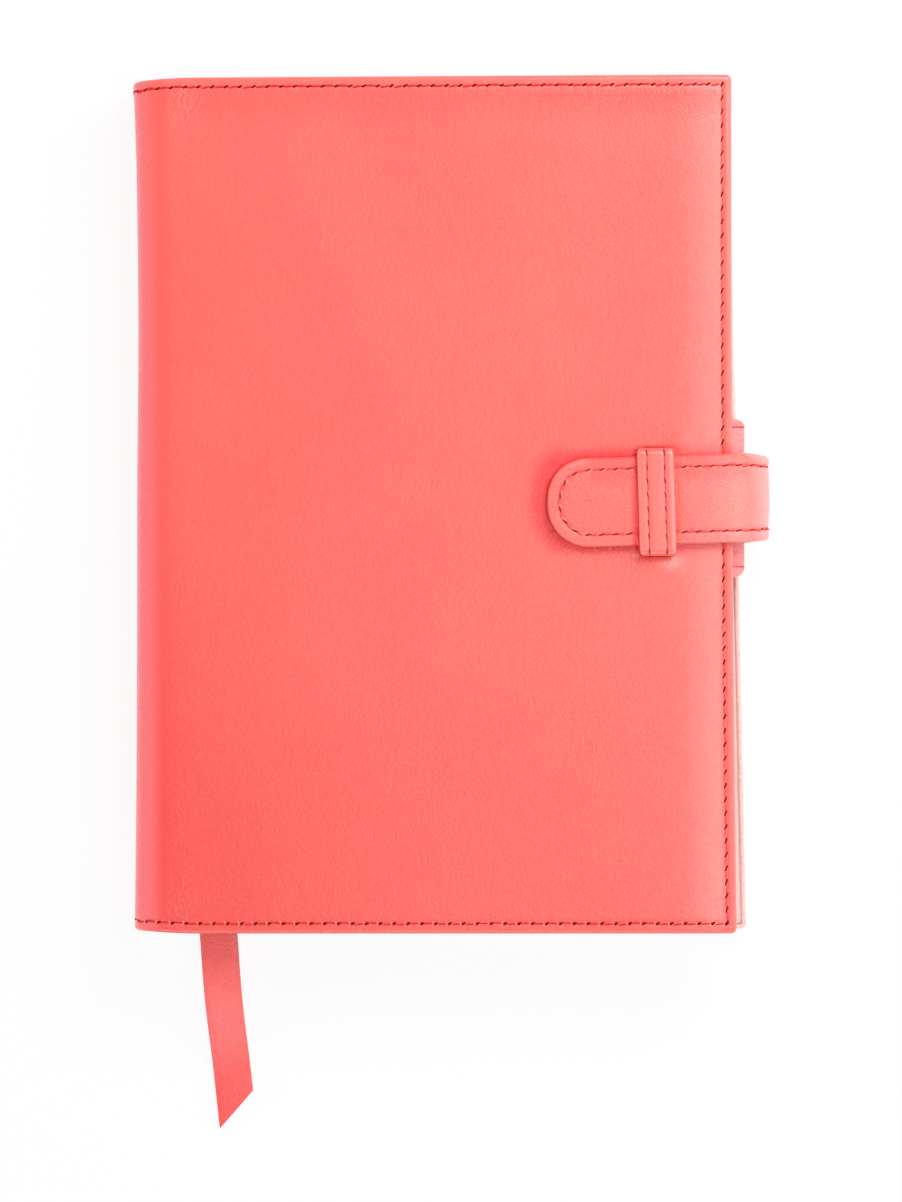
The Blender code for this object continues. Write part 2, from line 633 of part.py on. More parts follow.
# Strap, through a slot in the back leather's wall and into notches in the padding and the board
add_strap_root(strap_leather)
strap_side = STRAP_WIDTH / 2 + FIT
slot_low = (BACK_REACH - LEATHER - ROOT_DEPTH - FIT, STRAP_CENTRE - strap_side, ROOT_HEIGHT - ROOT_THICKNESS / 2 - FIT)
slot_high = (BACK_REACH + FIT, STRAP_CENTRE + strap_side, ROOT_HEIGHT + STRAP_THICKNESS / 2 + FIT)
wall_low = (BACK_REACH - LEATHER * 1.5, slot_low[1], ROOT_HEIGHT - STRAP_THICKNESS / 2)
cut(back_leather, wall_low, (slot_high[0], slot_high[1], RIM_AT + POCKET + FIT))
cut(back_padding, (slot_low[0], slot_low[1], 0), slot_high)
cut(back_board, (slot_low[0], slot_low[1], 0), slot_high)
lining_offset = -(STRAP_LEATHER + GLUE) / 2
leather_offset = (STRAP_LINING + GLUE) / 2
add_strap_wrap("strap_wrap", leather_offset, STRAP_LEATHER, strap_leather, root_axis)
add_strap_wrap("strap_wrap_lining", lining_offset, STRAP_LINING, strap_leather, root_axis)
add_strap_tongue("strap_tongue", leather_offset, STRAP_LEATHER, 0, strap_leather, tongue_axis)
add_strap_tongue("strap_tongue_lining", lining_offset, STRAP_LINING, STRAP_LINING_INSET, strap_leather, tongue_axis)

# Refill
card_x = PAGE_X + CARD_HINGE
add_slab("refill_front_cover", True, card_x, PAGE_END, CARD_HALF, CARD_CORNER, CARD_AT, CARD, refill_card, front_axis)
add_slab("refill_back_cover", False, card_x, PAGE_END, CARD_HALF, CARD_CORNER, CARD_AT, CARD, refill_card)
add_spine_layer("refill_spine", STRIP_X, CARD, SECTIONS_AT, CARD_HALF, refill_card, back_axis)
add_spine_layer("mull", MULL_X, MULL, SECTIONS_AT, PAGE_HALF, mull_cloth, back_axis)
add_endpaper("front_endpaper", True, paper, front_axis)
add_endpaper("back_endpaper", False, paper, back_axis)
for number in range(1, SECTION_COUNT + 1):
    add_section(number, paper, front_axis if number <= HALF_COUNT else back_axis)
add_band("head_band", 1, band_thread, back_axis)
add_band("tail_band", -1, band_thread, back_axis)
add_bookmark(marker_leather, marker_axis)
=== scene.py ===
from math import atan, atan2, copysign, cos, degrees, exp, hypot, pi, radians, sin, sqrt, tan

import bmesh
import bpy
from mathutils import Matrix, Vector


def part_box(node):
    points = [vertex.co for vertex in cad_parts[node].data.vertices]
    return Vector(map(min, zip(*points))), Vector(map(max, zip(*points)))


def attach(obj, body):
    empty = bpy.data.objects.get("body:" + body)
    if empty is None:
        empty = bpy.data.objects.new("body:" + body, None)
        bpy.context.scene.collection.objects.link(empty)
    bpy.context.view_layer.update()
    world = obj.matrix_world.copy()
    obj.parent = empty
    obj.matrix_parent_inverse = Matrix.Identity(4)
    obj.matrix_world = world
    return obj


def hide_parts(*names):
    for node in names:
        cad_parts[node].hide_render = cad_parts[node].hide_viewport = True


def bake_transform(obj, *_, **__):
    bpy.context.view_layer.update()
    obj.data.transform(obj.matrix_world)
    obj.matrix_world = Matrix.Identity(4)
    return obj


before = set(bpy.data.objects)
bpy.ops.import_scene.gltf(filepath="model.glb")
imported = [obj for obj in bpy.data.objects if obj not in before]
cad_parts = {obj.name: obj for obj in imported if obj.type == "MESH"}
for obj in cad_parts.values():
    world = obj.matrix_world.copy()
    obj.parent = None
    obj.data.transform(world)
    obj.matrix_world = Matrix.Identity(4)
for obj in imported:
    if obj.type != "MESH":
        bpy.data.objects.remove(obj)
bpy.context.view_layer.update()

# The notebook lies closed on its back cover: X from spine to fore edge, Y to the head, Z up.
# Sizes below are in millimetres; meshes are turned to metres when they are made.
mm = 0.001
bpy.context.scene.view_settings.view_transform = "Standard"


def boxOf(node):
    low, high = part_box(node)
    return [v / mm for v in low], [v / mm for v in high]


def inMetres(point):
    return tuple(c * mm for c in point)


def addObject(name, data):
    made = bpy.data.objects.new(name, data)
    bpy.context.collection.objects.link(made)
    return made


book = {
    "thick": boxOf("front_leather")[1][2],
    "half": boxOf("front_leather")[1][1],
    "spineX": boxOf("spine_leather")[0][0],
    "frontFore": boxOf("front_leather")[1][0],
    "backFore": boxOf("back_leather")[1][0],
    "shoulder": 9.0,
    "corner": 1.6,
    "leather": 1.1,
}
shoulderX = book["spineX"] + book["shoulder"]
print("sizes from the frame:", {k: round(v, 2) for k, v in book.items()})

# the camera looks straight down on the front cover
view = {"middle": (4.6, -24.6), "away": 1200.0, "lens": 140.3, "sensor": 36.0}

camera = addObject("camera", bpy.data.cameras.new("camera"))
camera.location = inMetres((*view["middle"], book["thick"] + view["away"]))
camera.data.lens, camera.data.sensor_width = view["lens"], view["sensor"]
bpy.context.scene.camera = camera


def mathOf(operation, reflected=False):
    def method(self, other):
        one, two = (other, self) if reflected else (self, other)
        return self.board.node("ShaderNodeMath", {"operation": operation}, {0: one, 1: two})

    return method


class Wire:
    # one socket; sums of wires add their Math nodes
    def __init__(self, board, socket):
        self.board, self.socket = board, socket

    __add__, __radd__ = mathOf("ADD"), mathOf("ADD", True)
    __sub__, __rsub__ = mathOf("SUBTRACT"), mathOf("SUBTRACT", True)
    __mul__, __rmul__ = mathOf("MULTIPLY"), mathOf("MULTIPLY", True)
    __truediv__, __rtruediv__ = mathOf("DIVIDE"), mathOf("DIVIDE", True)
    __pow__, __rpow__ = mathOf("POWER"), mathOf("POWER", True)


class Board:
    # one node tree, of a material or of geometry nodes
    def __init__(self, tree):
        self.tree = tree

    def node(self, kind, settings=None, sockets=None, out=0):
        made = self.tree.nodes.new(kind)
        for key, value in (settings or {}).items():
            setattr(made, key, value)
        for key, value in (sockets or {}).items():
            self.feed(made.inputs[key], value)
        return Wire(self, made.outputs[out])

    def feed(self, socket, value):
        if isinstance(value, Wire):
            self.tree.links.new(value.socket, socket)
        else:
            socket.default_value = value

    def vector(self, **parts):
        return self.node("ShaderNodeCombineXYZ", {}, parts)

    def scaled(self, vector, factor):
        return self.node("ShaderNodeVectorMath", {"operation": "SCALE"}, {0: vector, "Scale": factor})

    def added(self, one, two):
        return self.node("ShaderNodeVectorMath", {"operation": "ADD"}, {0: one, 1: two})

    def seenRays(self):
        # one for rays from the camera and mirrored ones, nought for those that light other things
        outputs = self.node("ShaderNodeLightPath").socket.node.outputs
        kinds = ("Camera", "Glossy", "Transmission")
        straight, mirrored, through = (Wire(self, outputs[f"Is {kind} Ray"]) for kind in kinds)
        return straight + mirrored + through


class Finish(Board):
    # a material with its principled shader
    def __init__(self, name):
        self.material = bpy.data.materials.new(name)
        self.material.use_nodes = True
        super().__init__(self.material.node_tree)

    def put(self, **values):
        shader = self.tree.nodes["Principled BSDF"]
        for key, value in values.items():
            self.feed(shader.inputs[key.replace("_", " ")], value)

    def place(self):
        # object coordinates, in millimetres
        return self.scaled(self.node("ShaderNodeTexCoord", out="Object"), 1 / mm)

    def stretch(self, vector, factors, turn=0.0):
        sockets = {"Vector": vector, "Scale": factors, "Rotation": (0, 0, turn)}
        return self.node("ShaderNodeMapping", {}, sockets)

    def noise(self, vector, scale, detail=2.0, rough=0.5, out=0):
        sockets = {"Vector": vector, "Scale": scale, "Detail": detail, "Roughness": rough}
        return self.node("ShaderNodeTexNoise", {}, sockets, out)

    def waves(self, vector, direction, scale, distortion, detail=2.0):
        sockets = {"Vector": vector, "Scale": scale, "Distortion": distortion, "Detail": detail}
        return self.node("ShaderNodeTexWave", {"bands_direction": direction}, sockets)

    def cells(self, vector, scale, feature="F1"):
        return self.node("ShaderNodeTexVoronoi", {"feature": feature}, {"Vector": vector, "Scale": scale})

    def tint(self, amount, one, two):
        return self.node("ShaderNodeMix", {"data_type": "RGBA"}, {0: amount, 6: one, 7: two}, 2)

    def ramp(self, value, low, high):
        return self.node("ShaderNodeMapRange", {}, {0: value, 1: low, 2: high})

    def mark(self, name):
        return self.node("ShaderNodeAttribute", {"attribute_name": name}, {}, "Fac")

    def bump(self, height, depth):
        sockets = {"Height": height, "Strength": 1.0, "Distance": depth * mm}
        return self.node("ShaderNodeBump", {}, sockets, "Normal")


def rgb(red, green, blue):
    return (red, green, blue, 1)


def darker(colour, share):
    return rgb(*(c * share for c in colour[:3]))


floor = {"size": 4.0, "below": 0.2, "paint": rgb(0.93, 0.93, 0.93), "glow": 0.9, "fade": (350.0, 1000.0)}


def makeFloor():
    finish = Finish("palePaper")
    shade = finish.node("ShaderNodeBsdfDiffuse", {}, {"Color": floor["paint"]})
    glow = finish.node("ShaderNodeEmission", {}, {"Color": rgb(1, 1, 1), "Strength": 1.0})
    # the shadow is kept near the notebook; further out the paper is plain white
    away = finish.node("ShaderNodeVectorMath", {"operation": "LENGTH"}, {0: finish.place()}, "Value")
    plain = finish.ramp(away, *floor["fade"]) * (1.0 - floor["glow"]) + floor["glow"]
    mixed = finish.node("ShaderNodeMixShader", {}, {0: finish.seenRays() * plain, 1: shade, 2: glow})
    finish.feed(finish.tree.nodes["Material Output"].inputs["Surface"], mixed)
    mesh = bpy.data.meshes.new("floor")
    reach, low = floor["size"] / 2, -floor["below"] * mm
    corners = [(x * reach, y * reach, low) for x, y in ((-1, -1), (1, -1), (1, 1), (-1, 1))]
    mesh.from_pydata(corners, [], [(0, 1, 2, 3)])
    mesh.materials.append(finish.material)
    addObject("floor", mesh)


# places and sizes in metres; a lamp that isn't mirrored leaves no highlight
lamps = {
    "softboxTop": {"spot": (0.27, 0.34, 0.43), "aim": (0.0, 0.0, 0.0), "size": (0.35, 0.30), "watts": 2.7},
    "stripFore": {"spot": (0.29, -0.12, 0.95), "aim": (0.06, -0.04, 0.0), "size": (0.36, 0.08), "watts": 1.5},
    "panelRight": {"spot": (1.0, -0.05, 0.30), "aim": (0.06, -0.02, 0.01), "size": (0.9, 0.5), "watts": 2.7},
    "panelLeft": {
        "spot": (-0.80, 0.0, 0.24), "aim": (-0.07, 0.0, 0.01), "size": (1.2, 0.46), "watts": 4.0,
        "colour": (0.98, 0.97, 1.0), "mirrored": False,
    },
    "panelTail": {"spot": (0.0, -0.90, 0.42), "aim": (0.0, -0.10, 0.01), "size": (1.0, 0.4), "watts": 3.0},
}
skyFill = 0.30


def makeLamp(name, spot, aim, size, watts, colour=(1, 1, 1), mirrored=True):
    lamp = bpy.data.lights.new(name, "AREA")
    lamp.shape = "RECTANGLE"
    lamp.size, lamp.size_y = size
    lamp.energy, lamp.color = watts, colour
    made = addObject(name, lamp)
    made.location = spot
    x, y, z = (s - a for s, a in zip(spot, aim))
    made.rotation_euler = (atan2(hypot(x, y), z), 0, atan2(x, -y))
    made.visible_camera, made.visible_glossy = False, mirrored


def makeWorld():
    world = bpy.data.worlds.new("studio")
    world.use_nodes = True
    bpy.context.scene.world = world
    sky = Board(world.node_tree)
    background = world.node_tree.nodes["Background"]
    sky.feed(background.inputs["Color"], rgb(1, 1, 1))
    sky.feed(background.inputs["Strength"], sky.seenRays() * (1.0 - skyFill) + skyFill)


makeFloor()
makeWorld()
for name, lamp in lamps.items():
    makeLamp(name, **lamp)
print("camera, floor and light made")


def leatherFinish(name, look):
    # smooth hide: small pebbles, pores, soft hand marks, worn edges and creases, with painted highlights,
    # sheen, reflection and shade, where the mesh asks for them
    finish = Finish(name)
    spot = finish.place()
    cloud = finish.noise(spot, 0.03, 3.0)
    hand = finish.noise(finish.stretch(spot, look["drawn"], 0.1), 0.6, 3.0)
    bent = finish.added(spot, finish.noise(spot, 1.1, out="Color"))
    pebble = finish.cells(bent, 1 / look["grainSize"], "SMOOTH_F1")
    fine = finish.noise(spot, 5.5, 3.0, 0.6)
    edge, crease, paintedReflection, shadeAndTone = (finish.mark(label) for label in ("edge", "crease", "paintedReflection", "shadeAndTone"))
    slanted = finish.stretch(finish.stretch(bent, (1.0, 1.0, 1.0), 0.42), (1.0, 0.32, 0.6))
    lines = finish.cells(slanted, 1.0, "DISTANCE_TO_EDGE")
    fold = (1.0 - finish.ramp(lines, 0.0, 0.2)) * crease
    shade = finish.ramp(cloud, 0.36, 0.64) * 0.55 + finish.ramp(hand, 0.3, 0.7) * 0.25
    paint = finish.tint(shade, look["deep"], look["colour"])
    for amount, colour in (
        (finish.ramp(pebble, 0.42, 0.62) * look["pores"], "pore"),
        (edge * look["wearAndSheen"] * (1.25 - pebble * 0.7), "wornAndSheen"),
        (fold * 0.2, "wornAndSheen"),
        (paintedReflection, "paintedReflection"),
        (shadeAndTone, "shadeAndTone"),
    ):
        paint = finish.tint(amount, paint, look[colour])
    rough = look["rough"] + (cloud - 0.5) * 0.12 + (hand - 0.5) * 0.1 + pebble * 0.08 - edge * 0.06
    height = fine * 0.6 - pebble * 1.0 + hand * 0.55 - fold * look["creaseDepth"]
    finish.put(Base_Color=paint, Roughness=rough, Normal=finish.bump(height, look["grainDepth"]))
    finish.put(Specular_IOR_Level=look["gloss"])
    finish.put(Coat_Weight=(1.0 - shadeAndTone) * look["coat"], Coat_Roughness=0.38)
    finish.put(Sheen_Weight=look["sheen"], Sheen_Roughness=0.45, Sheen_Tint=rgb(1.0, 0.72, 0.68))
    return finish.material


# colours: the hide, its deeper clouds, its pores, where it is worn and where it has painted highlights, its
# painted shade and deeper tone, and its painted reflection where it turns over
coverLook = {
    "colour": rgb(0.934, 0.122, 0.093),
    "deep": rgb(0.92, 0.098, 0.075),
    "pore": rgb(0.74, 0.056, 0.05),
    "wornAndSheen": rgb(0.97, 0.27, 0.236),
    "shadeAndTone": rgb(0.81, 0.0035, 0.007),
    "paintedReflection": rgb(0.95, 0.128, 0.140),
    "grainSize": 0.62,
    "grainDepth": 0.07,
    "drawn": (1.0, 0.3, 1.0),
    "creaseDepth": 1.1,
    "rough": 0.23,
    "gloss": 0.7,
    "coat": 0.25,
    "sheen": 0.05,
    "pores": 0.18,
    "wearAndSheen": 0.45,
}
# the back cover's pale worn colour paints a highlight on its fore rim
backLook = {**coverLook, "wornAndSheen": rgb(0.97, 0.585, 0.54), "wearAndSheen": 0.9}
# pinches are paler leather that paints the highlight beside each needle hole
pinchHighlightLook = {**coverLook, "colour": rgb(0.97, 0.28, 0.225), "deep": rgb(0.96, 0.225, 0.18)}
keeperLook = {
    **coverLook,
    "colour": rgb(0.95, 0.152, 0.1215),
    "deep": rgb(0.94, 0.129, 0.101),
    "grainDepth": 0.05,
    "wearAndSheen": 0.5,
}
strapLook = {
    **coverLook,
    "colour": rgb(0.94, 0.150, 0.119),
    "deep": rgb(0.93, 0.1215, 0.098),
    # on the strap the painted reflection is a pale highlight over the fold
    "paintedReflection": rgb(0.97, 0.62, 0.60),
    "grainSize": 0.55,
    "grainDepth": 0.18,
    "drawn": (1.5, 1.0, 1.0),
    "rough": 0.33,
    "pores": 0.32,
    "wearAndSheen": 0.5,
}
# the pen loop is the same leather, painted paler for the strong light on it
litLoopLook = {**strapLook, "colour": rgb(0.95, 0.275, 0.268), "deep": rgb(0.94, 0.24, 0.232)}
markerLook = {
    **coverLook,
    "colour": rgb(0.97, 0.112, 0.098),
    "deep": rgb(0.96, 0.094, 0.082),
    "grainSize": 0.6,
    "grainDepth": 0.20,
    "drawn": (2.4, 0.9, 1.0),
    "rough": 0.30,
    "coat": 0.45,
    "pores": 0.3,
}
coverLeather = leatherFinish("coverLeather", coverLook)
backLeather = leatherFinish("backLeather", backLook)
pinchLeather = leatherFinish("pinchLeather", pinchHighlightLook)
keeperLeather = leatherFinish("keeperLeather", keeperLook)
strapLeather = leatherFinish("strapLeather", strapLook)
loopLeather = leatherFinish("loopLeather", litLoopLook)
markerLeather = leatherFinish("markerLeather", markerLook)


def threadFinish(name, colour, rough=0.6):
    finish = Finish(name)
    ply = finish.waves(finish.place(), "DIAGONAL", 1.3, 1.0)
    paint = finish.tint(ply * 0.45, colour, darker(colour, 0.72))
    finish.put(Base_Color=paint, Roughness=rough + ply * 0.1, Normal=finish.bump(ply, 0.05))
    finish.put(Specular_IOR_Level=0.12)
    return finish.material


seamThread = threadFinish("seamThread", rgb(0.78, 0.030, 0.034))
# dark pieces that paint the shade in needle holes and slits
seamHole = threadFinish("seamHole", rgb(0.24, 0.003, 0.005), 0.9)
strapThread = threadFinish("strapThread", rgb(0.86, 0.105, 0.095))
strapHole = threadFinish("strapHole", rgb(0.40, 0.020, 0.022), 0.9)
# the loop's thread is painted paler too, for the light on the loop
loopThread = threadFinish("loopThread", rgb(0.80, 0.16, 0.15))
bandThread = threadFinish("bandThread", rgb(0.86, 0.42, 0.38), 0.7)


def clothFinish(name, colour, thread, depth, rough=0.85):
    # plain weave, with its threads along X and Y
    finish = Finish(name)
    spot = finish.place()
    warp, weft = (finish.waves(spot, way, 0.314 / thread, 0.6, 1.0) for way in ("X", "Y"))
    slub = finish.noise(finish.stretch(spot, (0.25, 2.0, 1.0)), 0.8)
    weave = warp * weft
    paint = finish.tint(weave * 0.5 + slub * 0.3, darker(colour, 0.78), colour)
    finish.put(Base_Color=paint, Roughness=rough + slub * 0.1, Normal=finish.bump(weave + slub * 0.3, depth))
    finish.put(Sheen_Weight=0.2, Sheen_Roughness=0.5)
    return finish.material


liningCloth = clothFinish("liningCloth", rgb(0.97, 0.73, 0.70), 0.35, 0.05)
mullCloth = clothFinish("mullCloth", rgb(0.84, 0.82, 0.76), 0.6, 0.08, 0.9)


def sheetFinish(name, colour, speck, rough, depth):
    # pressed fibres: card, board and foam
    finish = Finish(name)
    spot = finish.place()
    fibre = finish.noise(finish.stretch(spot, (1.0, 0.35, 1.0), 0.4), 2.2, 4.0, 0.65)
    cloud = finish.noise(spot, 0.06)
    flecks = finish.ramp(finish.cells(spot, 0.7), 0.16, 0.05)
    paint = finish.tint(fibre * 0.5 + cloud * 0.3, darker(colour, 0.86), colour)
    paint = finish.tint(flecks * speck, paint, darker(colour, 0.55))
    finish.put(Base_Color=paint, Roughness=rough + fibre * 0.08, Normal=finish.bump(fibre, depth))
    return finish.material


refillCard = sheetFinish("refillCard", rgb(0.80, 0.74, 0.63), 0.35, 0.75, 0.03)
greyBoard = sheetFinish("greyBoard", rgb(0.36, 0.33, 0.30), 0.5, 0.85, 0.06)
padFoam = sheetFinish("padFoam", rgb(0.85, 0.83, 0.78), 0.25, 0.9, 0.15)


def paperFinish(name, colour):
    finish = Finish(name)
    spot = finish.place()
    fibre = finish.noise(spot, 3.0, 3.0, 0.6)
    layers = finish.noise(finish.stretch(spot, (0.02, 0.02, 9.0)), 1.0)
    paint = finish.tint(fibre * 0.4 + layers * 0.4, darker(colour, 0.9), colour)
    finish.put(Base_Color=paint, Roughness=0.8 + fibre * 0.08, Normal=finish.bump(fibre, 0.012))
    return finish.material


leafPaper = paperFinish("leafPaper", rgb(0.90, 0.88, 0.81))
endPaper = paperFinish("endPaper", rgb(0.88, 0.84, 0.76))
print("finishes made")


def makePiece(name, points, faces, finish, sharp=45, marks=None):
    mesh = bpy.data.meshes.new(name)
    mesh.from_pydata([inMetres(p) for p in points], [], faces)
    bm = bmesh.new()
    bm.from_mesh(mesh)
    bmesh.ops.recalc_face_normals(bm, faces=bm.faces)
    bm.to_mesh(mesh)
    bm.free()
    mesh.shade_smooth()
    mesh.set_sharp_from_angle(angle=radians(sharp))
    for label, values in (marks or {}).items():
        mesh.attributes.new(label, "FLOAT", "POINT").data.foreach_set("value", values)
    mesh.materials.append(finish)
    return addObject(name, mesh)


def loft(rings, closed=False):
    # faces between rings of points; the two ends are capped unless the rings close on themselves
    wide, count = len(rings[0]), len(rings)
    points = [p for ring in rings for p in ring]
    faces = []
    for i in range(count if closed else count - 1):
        k = (i + 1) % count
        for j in range(wide):
            m = (j + 1) % wide
            faces.append((i * wide + j, i * wide + m, k * wide + m, k * wide + j))
    if not closed:
        faces += [tuple(range(wide)), tuple((count - 1) * wide + j for j in range(wide))]
    return points, faces


def gridFaces(rows, columns, start=0):
    corners = [start + i * columns + j for i in range(rows - 1) for j in range(columns - 1)]
    return [(k, k + columns, k + columns + 1, k + 1) for k in corners]


def bellOf(distance, reach):
    return exp(-((distance / reach) ** 2))


def spotOf(x, y, middleX, middleY, wide, high):
    return bellOf(hypot((x - middleX) / wide, (y - middleY) / high), 1.0)


def smooth(value, low, high):
    share = min(max((value - low) / (high - low), 0.0), 1.0)
    return share * share * (3 - 2 * share)


def roundOff(inset, radius):
    # height of a rounded edge at an inset from it, as a share of its full height
    return sqrt(max(1 - (1 - min(inset / radius, 1.0)) ** 2, 0.0))


def roundCorner(dx, dy, radius):
    # insets of a square corner turned into those of a round one, and the inset from its outline
    if dx < radius and dy < radius:
        p, q = 1 - dx / radius, 1 - dy / radius
        p, q = p * sqrt(1 - q * q / 2), q * sqrt(1 - p * p / 2)
        return radius * (1 - p), radius * (1 - q), radius * (1 - hypot(p, q))
    return dx, dy, min(dx, dy)


def evenly(first, last, steps):
    return [first + (last - first) * k / steps for k in range(steps + 1)]


def bendSpots(middle, first, last, steps):
    # places round a bend from one angle to another, with outward normals
    across, up, radius = middle
    angles = [radians(a) for a in evenly(first, last, steps)]
    return [(across + radius * cos(a), up + radius * sin(a), cos(a), sin(a)) for a in angles]


def merged(values, least=0.09):
    kept = []
    for v in sorted(values):
        if not kept or v - kept[-1] > least:
            kept.append(v)
    return kept


def nodeGroup(name, **kinds):
    # a tree from geometry to geometry, with further inputs listed by their kind
    tree = bpy.data.node_groups.new(name, "GeometryNodeTree")
    labels = []
    for kind, names in {"Geometry": ["Geometry"], **kinds}.items():
        for label in names:
            tree.interface.new_socket(label, in_out="INPUT", socket_type="NodeSocket" + kind)
        labels += names
    tree.interface.new_socket("Geometry", in_out="OUTPUT", socket_type="NodeSocketGeometry")
    board = Board(tree)
    source = board.node("NodeGroupInput").socket.node
    return board, {label: Wire(board, source.outputs[label]) for label in labels}


def endGroup(board, geometry, material):
    real = board.node("GeometryNodeRealizeInstances", {}, {"Geometry": geometry})
    done = board.node("GeometryNodeSetMaterial", {}, {"Geometry": real, "Material": material})
    board.feed(board.tree.nodes.new("NodeGroupOutput").inputs["Geometry"], done)
    return board.tree


def growPiece(name, start, tree, values):
    # runs a tree on a start mesh and keeps the result as a plain mesh
    holder = addObject(name + "Start", start)
    modifier = holder.modifiers.new("grow", "NODES")
    modifier.node_group = tree
    for item in tree.interface.items_tree:
        if item.in_out == "INPUT" and item.name in values:
            modifier[item.identifier] = values[item.name]
    depsgraph = bpy.context.evaluated_depsgraph_get()
    mesh = bpy.data.meshes.new_from_object(holder.evaluated_get(depsgraph))
    mesh.name = name
    bpy.data.objects.remove(holder)
    mesh.shade_smooth()
    mesh.set_sharp_from_angle(angle=radians(60))
    return addObject(name, mesh)


def spotsAlong(board, into):
    line = board.node("GeometryNodeMeshToCurve", {}, {"Mesh": into["Geometry"]})
    sockets = {"Curve": line, "Length": into["Pitch"]}
    return board.node("GeometryNodeResampleCurve", {"mode": "LENGTH"}, sockets)


def circleOf(board, steps, radius):
    sockets = {"Resolution": steps, "Radius": radius}
    return board.node("GeometryNodeCurvePrimitiveCircle", {"mode": "RADIUS"}, sockets)


def stitchGroup():
    board, into = nodeGroup(
        "seamStitches",
        Float=["Pitch", "Length", "Thickness", "Arch", "Sink", "Slant", "Wander"],
        Vector=["Shift"],
        Int=["Left Out", "Seed"],
        Material=["Thread"],
    )
    along = board.node("GeometryNodeInputTangent")
    up = board.node("GeometryNodeInputNamedAttribute", {"data_type": "FLOAT_VECTOR"}, {"Name": "seamUp"})
    turn = board.node("FunctionNodeAlignRotationToVector", {"axis": "X"}, {"Vector": along})
    upright = {"Rotation": turn, "Vector": up}
    turn = board.node("FunctionNodeAlignRotationToVector", {"axis": "Z", "pivot_axis": "X"}, upright)
    limits = {2: into["Wander"] * -1.0, 3: into["Wander"], "Seed": into["Seed"]}
    stray = board.node("FunctionNodeRandomValue", {"data_type": "FLOAT"}, limits, 1)
    swing = board.node("FunctionNodeEulerToRotation", {}, {"Euler": board.vector(Z=stray)})
    swung = {"Rotation": turn, "Rotate By": swing}
    turn = board.node("FunctionNodeRotateRotation", {"rotation_space": "LOCAL"}, swung)
    reach, low = into["Length"] * 0.5, into["Sink"] * -1.0
    bow = board.node("GeometryNodeCurveQuadraticBezier", {}, {
        "Resolution": 6,
        "Start": board.vector(X=reach * -1.0, Z=low),
        "Middle": board.vector(Z=into["Arch"] * 2.0 + into["Sink"]),
        "End": board.vector(X=reach, Z=low),
    })
    strand = {"Curve": bow, "Profile Curve": circleOf(board, 6, into["Thickness"] * 0.5), "Fill Caps": True}
    slanted = board.node("GeometryNodeTransform", {}, {
        "Geometry": board.node("GeometryNodeCurveToMesh", {}, strand),
        "Translation": into["Shift"],
        "Rotation": board.vector(Z=into["Slant"]),
    })
    ends = {"Start Size": 0, "End Size": into["Left Out"]}
    last = board.node("GeometryNodeCurveEndpointSelection", {}, ends)
    rows = board.node("GeometryNodeInstanceOnPoints", {}, {
        "Points": spotsAlong(board, into),
        "Selection": board.node("FunctionNodeBooleanMath", {"operation": "NOT"}, {0: last}),
        "Instance": slanted,
        "Rotation": turn,
    })
    return endGroup(board, rows, into["Thread"])


stitchTree = stitchGroup()
# length, thickness, rise and slant of the parts of one stitch;
# a pinch is the leather drawn up beside a needle hole, in paler leather that paints its highlight; a hole is
# a dark piece that paints the shade in the needle hole
stitch = {
    "sink": 0.16,
    "wander": 0.12,
    "head": {
        "thread": (2.3, 0.54, 0.14, 6), "holeShade": (1.3, 0.58, 0.07, 30),
        "pinch": (1.2, 0.42, 0.0, 32), "beside": (0.6, 0.42),
    },
    "fore": {
        "thread": (2.3, 0.38, 0.12, -6), "holeShade": (1.6, 0.50, 0.07, -26),
        "pinch": (1.7, 0.60, -0.05, -24), "beside": (0.35, -0.58),
    },
    "tail": {
        "thread": (2.7, 0.36, 0.12, 3), "holeShade": (0.90, 0.62, 0.07, 32),
        "pinch": (1.5, 0.40, 0.02, -66), "beside": (0.85, -0.2),
    },
    "strap": {
        "thread": (2.2, 0.44, 0.12, 6), "holeShade": (1.8, 0.40, 0.07, 16),
        "pinch": (1.6, 0.44, 0.03, 18), "beside": (-0.5, 0.44),
    },
    "under": {"thread": (2.2, 0.40, 0.10, -5), "holeShade": (0.9, 0.38, 0.05, -10)},
    "keeper": {"thread": (2.0, 0.34, 0.10, 2), "holeShade": (1.9, 0.34, 0.06, 4)},
    "loop": {"thread": (1.5, 0.32, 0.08, 3), "holeShade": (0.9, 0.30, 0.05, 8)},
    "pocket": {"thread": (2.3, 0.40, 0.12, 5), "holeShade": (0.9, 0.40, 0.06, 24)},
}


